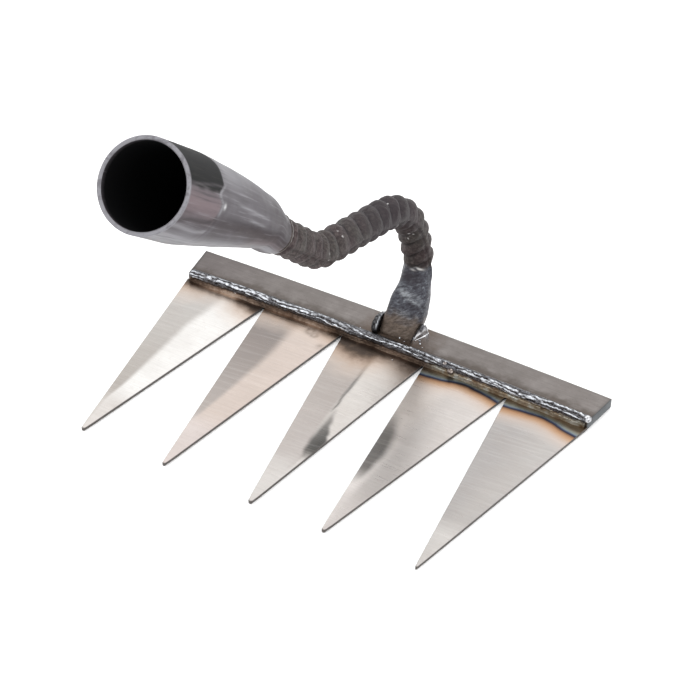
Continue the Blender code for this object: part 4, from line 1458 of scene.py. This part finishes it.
def makeFootWeld(name, node, sign, fullLeg, brightness):
    forward, _, side = rodPlane()
    foot = inRodPlane(Vector((0.0, 0.0)))
    shape = tubeGrid(footWelds["stations"], footWelds["sides"])
    marks = {}
    over = int(footWelds["sides"] * footWelds["skinShare"])
    form = leftWeldForm if sign < 0 else rightWeldForm
    for vertex in shape.verts:
        share = vertex.co.z + 0.5
        slot = slotAround(vertex, footWelds["sides"])
        size = 0.35 + 0.65 * math.sin(math.pi * share) ** 0.5
        if sign > 0:
            # heavier at the front, where it laps round the foot's corner
            size *= 0.45 + 0.6 * hill(share - 0.64, 0.24)
        leg, rise = fullLeg * size, footWelds["rises"][int(sign > 0)] * size
        low, high = footSide(0.0, sign), footSide(rise, sign)
        crest = 0.3
        if slot <= over:
            lie = slot / over
            turn = lie * math.pi / 2.0
            beside = blend(low + leg, high + leg * 0.15, 1.0 - math.cos(turn))
            up = rise * math.sin(turn)
            bumpy, crest = form(share, lie)
            ends = math.sin(math.pi * lie) ** 0.5
            beside += footWelds["reliefOut"] * bumpy * ends * size
            up += footWelds["reliefUp"] * bumpy * ends * size
        else:
            part = (slot - over) / (footWelds["sides"] - over)
            if part < 0.5:
                beside, up = blend(high, low, part * 2.0), rise * (1.0 - part * 2.0)
            else:
                beside, up = blend(low, low + leg, part * 2.0 - 1.0), 0.0
        reach = footWelds["length"] * (share - 0.5)
        if sign > 0:
            nose = smoothStep(0.55, 1.0, share)
            reach += footWelds["noseReach"] * nose
            beside -= footWelds["noseTurn"] * nose * nose
        marks[vertex.index] = weldMarks(crest, smoke=0.4)
        spot = foot + forward * reach + side * sign * beside
        vertex.co = Vector((spot.x, spot.y, bar["thickness"] - footWelds["sink"] + max(0.0, up)))
    material = weldMaterial(name + "Steel", brightness)
    return makePiece(name, shape, marks, material, [node], 60.0)


makeFootWeld("footBeadLeft", "foot_weld_left", -1.0, footWelds["legs"][0], 0.72)
makeFootWeld("footBeadRight", "foot_weld_right", 1.0, footWelds["legs"][1], 1.2)

# spatter: x, y, resting height, radius, shine
spatter = {
    "flatness": 0.85,
    "drops": (
        (106.0, -10.4, 3.9, 1.9, 0.7), (37.4, -11.4, 3.0, 1.75, 0.2), (33.4, -9.6, 5.0, 1.1, 0.3),
        (-80.0, -11.3, 2.4, 1.3, 0.3), (6.1, -3.4, 5.0, 0.42, 1.0), (16.4, -2.4, 5.0, 0.45, 0.9),
        (9.2, -4.6, 5.0, 0.35, 0.8), (18.6, -4.2, 5.0, 0.3, 0.6), (-13.5, -6.2, 5.0, 0.35, 0.7),
        (52.0, -14.0, 1.5, 0.28, 0.6), (9.0, -15.5, 1.5, 0.3, 0.6),
    ),
}


def makeSpatter():
    shape = bmesh.new()
    marks = {}
    for number, (x, y, floor, radius, shine) in enumerate(spatter["drops"]):
        made = bmesh.ops.create_icosphere(shape, subdivisions=4 if radius > 0.7 else 3, radius=radius)
        shape.verts.index_update()
        for vertex in made["verts"]:
            patchy = grain(*vertex.co, 0.8, 4.0 + number)
            vertex.co *= 1.0 + 0.08 * grain(*vertex.co, radius * 0.9, number * 1.3)
            vertex.co.z *= spatter["flatness"]
            marks[vertex.index] = weldMarks(
                0.35 + 0.6 * shine + 0.35 * patchy, max(0.0, 0.9 - shine) * 0.9, pale=0.55 + 0.5 * patchy
            )
        bmesh.ops.translate(shape, vec=(x, y, floor + radius * 0.55), verts=made["verts"])
    material = weldMaterial("spatterSteel", 1.05)
    return makePiece("spatter", shape, marks, material, [], 80.0)


makeSpatter()
print("welds made")


# Stage: pale floor, soft studio light, the photo's viewpoint

stage = {
    "floorSize": 6.0,
    "cameraPlace": (0.346265, -0.653292, 0.589010),
    "cameraTurn": (51.09441, -0.85836, 30.13189),
    "lens": 102.859,
    "floorDrop": 0.0004,
    "lampAim": (0.0, -0.05, 0.05),
    # area lamps: name, place, size, power
    "lamps": (
        ("softLeft", (-1.1, -0.3, 1.3), 1.0, 9.0),
        ("softRight", (1.3, -0.6, 1.2), 0.8, 6.0),
        ("softBack", (0.2, 1.4, 1.2), 1.2, 8.0),
    ),
}


def makeFloor():
    shape = bmesh.new()
    bmesh.ops.create_grid(shape, x_segments=1, y_segments=1, size=stage["floorSize"] / 2.0)
    mesh = bpy.data.meshes.new("floor")
    shape.to_mesh(mesh)
    shape.free()
    material, tree, _ = startMaterial("paleFloor", 0.9, 0.0)
    cloud = speckle(tree, place(tree), 80.0, 2.0, 0.5)
    colour = mixTone(tree, cloud, (0.93, 0.93, 0.93, 1.0), (0.95, 0.95, 0.95, 1.0))
    mesh.materials.append(finishMaterial(material, colour))
    floor = bpy.data.objects.new("floor", mesh)
    floor.location.z = -stage["floorDrop"]
    bpy.context.scene.collection.objects.link(floor)


def makeLights():
    world = bpy.data.worlds.new("studio")
    bpy.context.scene.world = world
    world.use_nodes = True
    tree = world.node_tree
    direction = addNode(tree, "TexCoord", {}).outputs["Generated"]
    height = addNode(tree, "SeparateXYZ", {"Vector": direction}).outputs["Z"]
    white = (1.0, 1.0, 1.0, 1.0)
    sky, _ = ramp(tree, span(tree, height, -0.1, 1.0), [
        (0.0, (0.55, 0.55, 0.56, 1.0)), (0.25, (0.75, 0.75, 0.76, 1.0)), (0.6, white), (1.0, white),
    ])
    background = tree.nodes["Background"]
    tree.links.new(sky, background.inputs["Color"])
    background.inputs["Strength"].default_value = studio["sky"]
    for name, spot, size, power in stage["lamps"]:
        light = bpy.data.lights.new(name, "AREA")
        light.shape, light.size, light.energy = "SQUARE", size, power * studio["lamps"]
        lamp = bpy.data.objects.new(name, light)
        lamp.location = spot
        lamp.rotation_euler = (Vector(stage["lampAim"]) - Vector(spot)).to_track_quat("-Z", "Y").to_euler()
        bpy.context.scene.collection.objects.link(lamp)


def makeCamera():
    data = bpy.data.cameras.new("photoView")
    data.lens, data.sensor_width = stage["lens"], 36.0
    data.clip_start, data.clip_end = 0.01, 50.0
    camera = bpy.data.objects.new("photoView", data)
    camera.location = stage["cameraPlace"]
    camera.rotation_euler = [math.radians(angle) for angle in stage["cameraTurn"]]
    bpy.context.scene.collection.objects.link(camera)
    bpy.context.scene.camera = camera


makeFloor()
makeLights()
makeCamera()
bpy.context.scene.view_settings.view_transform = "Standard"
print("stage made")
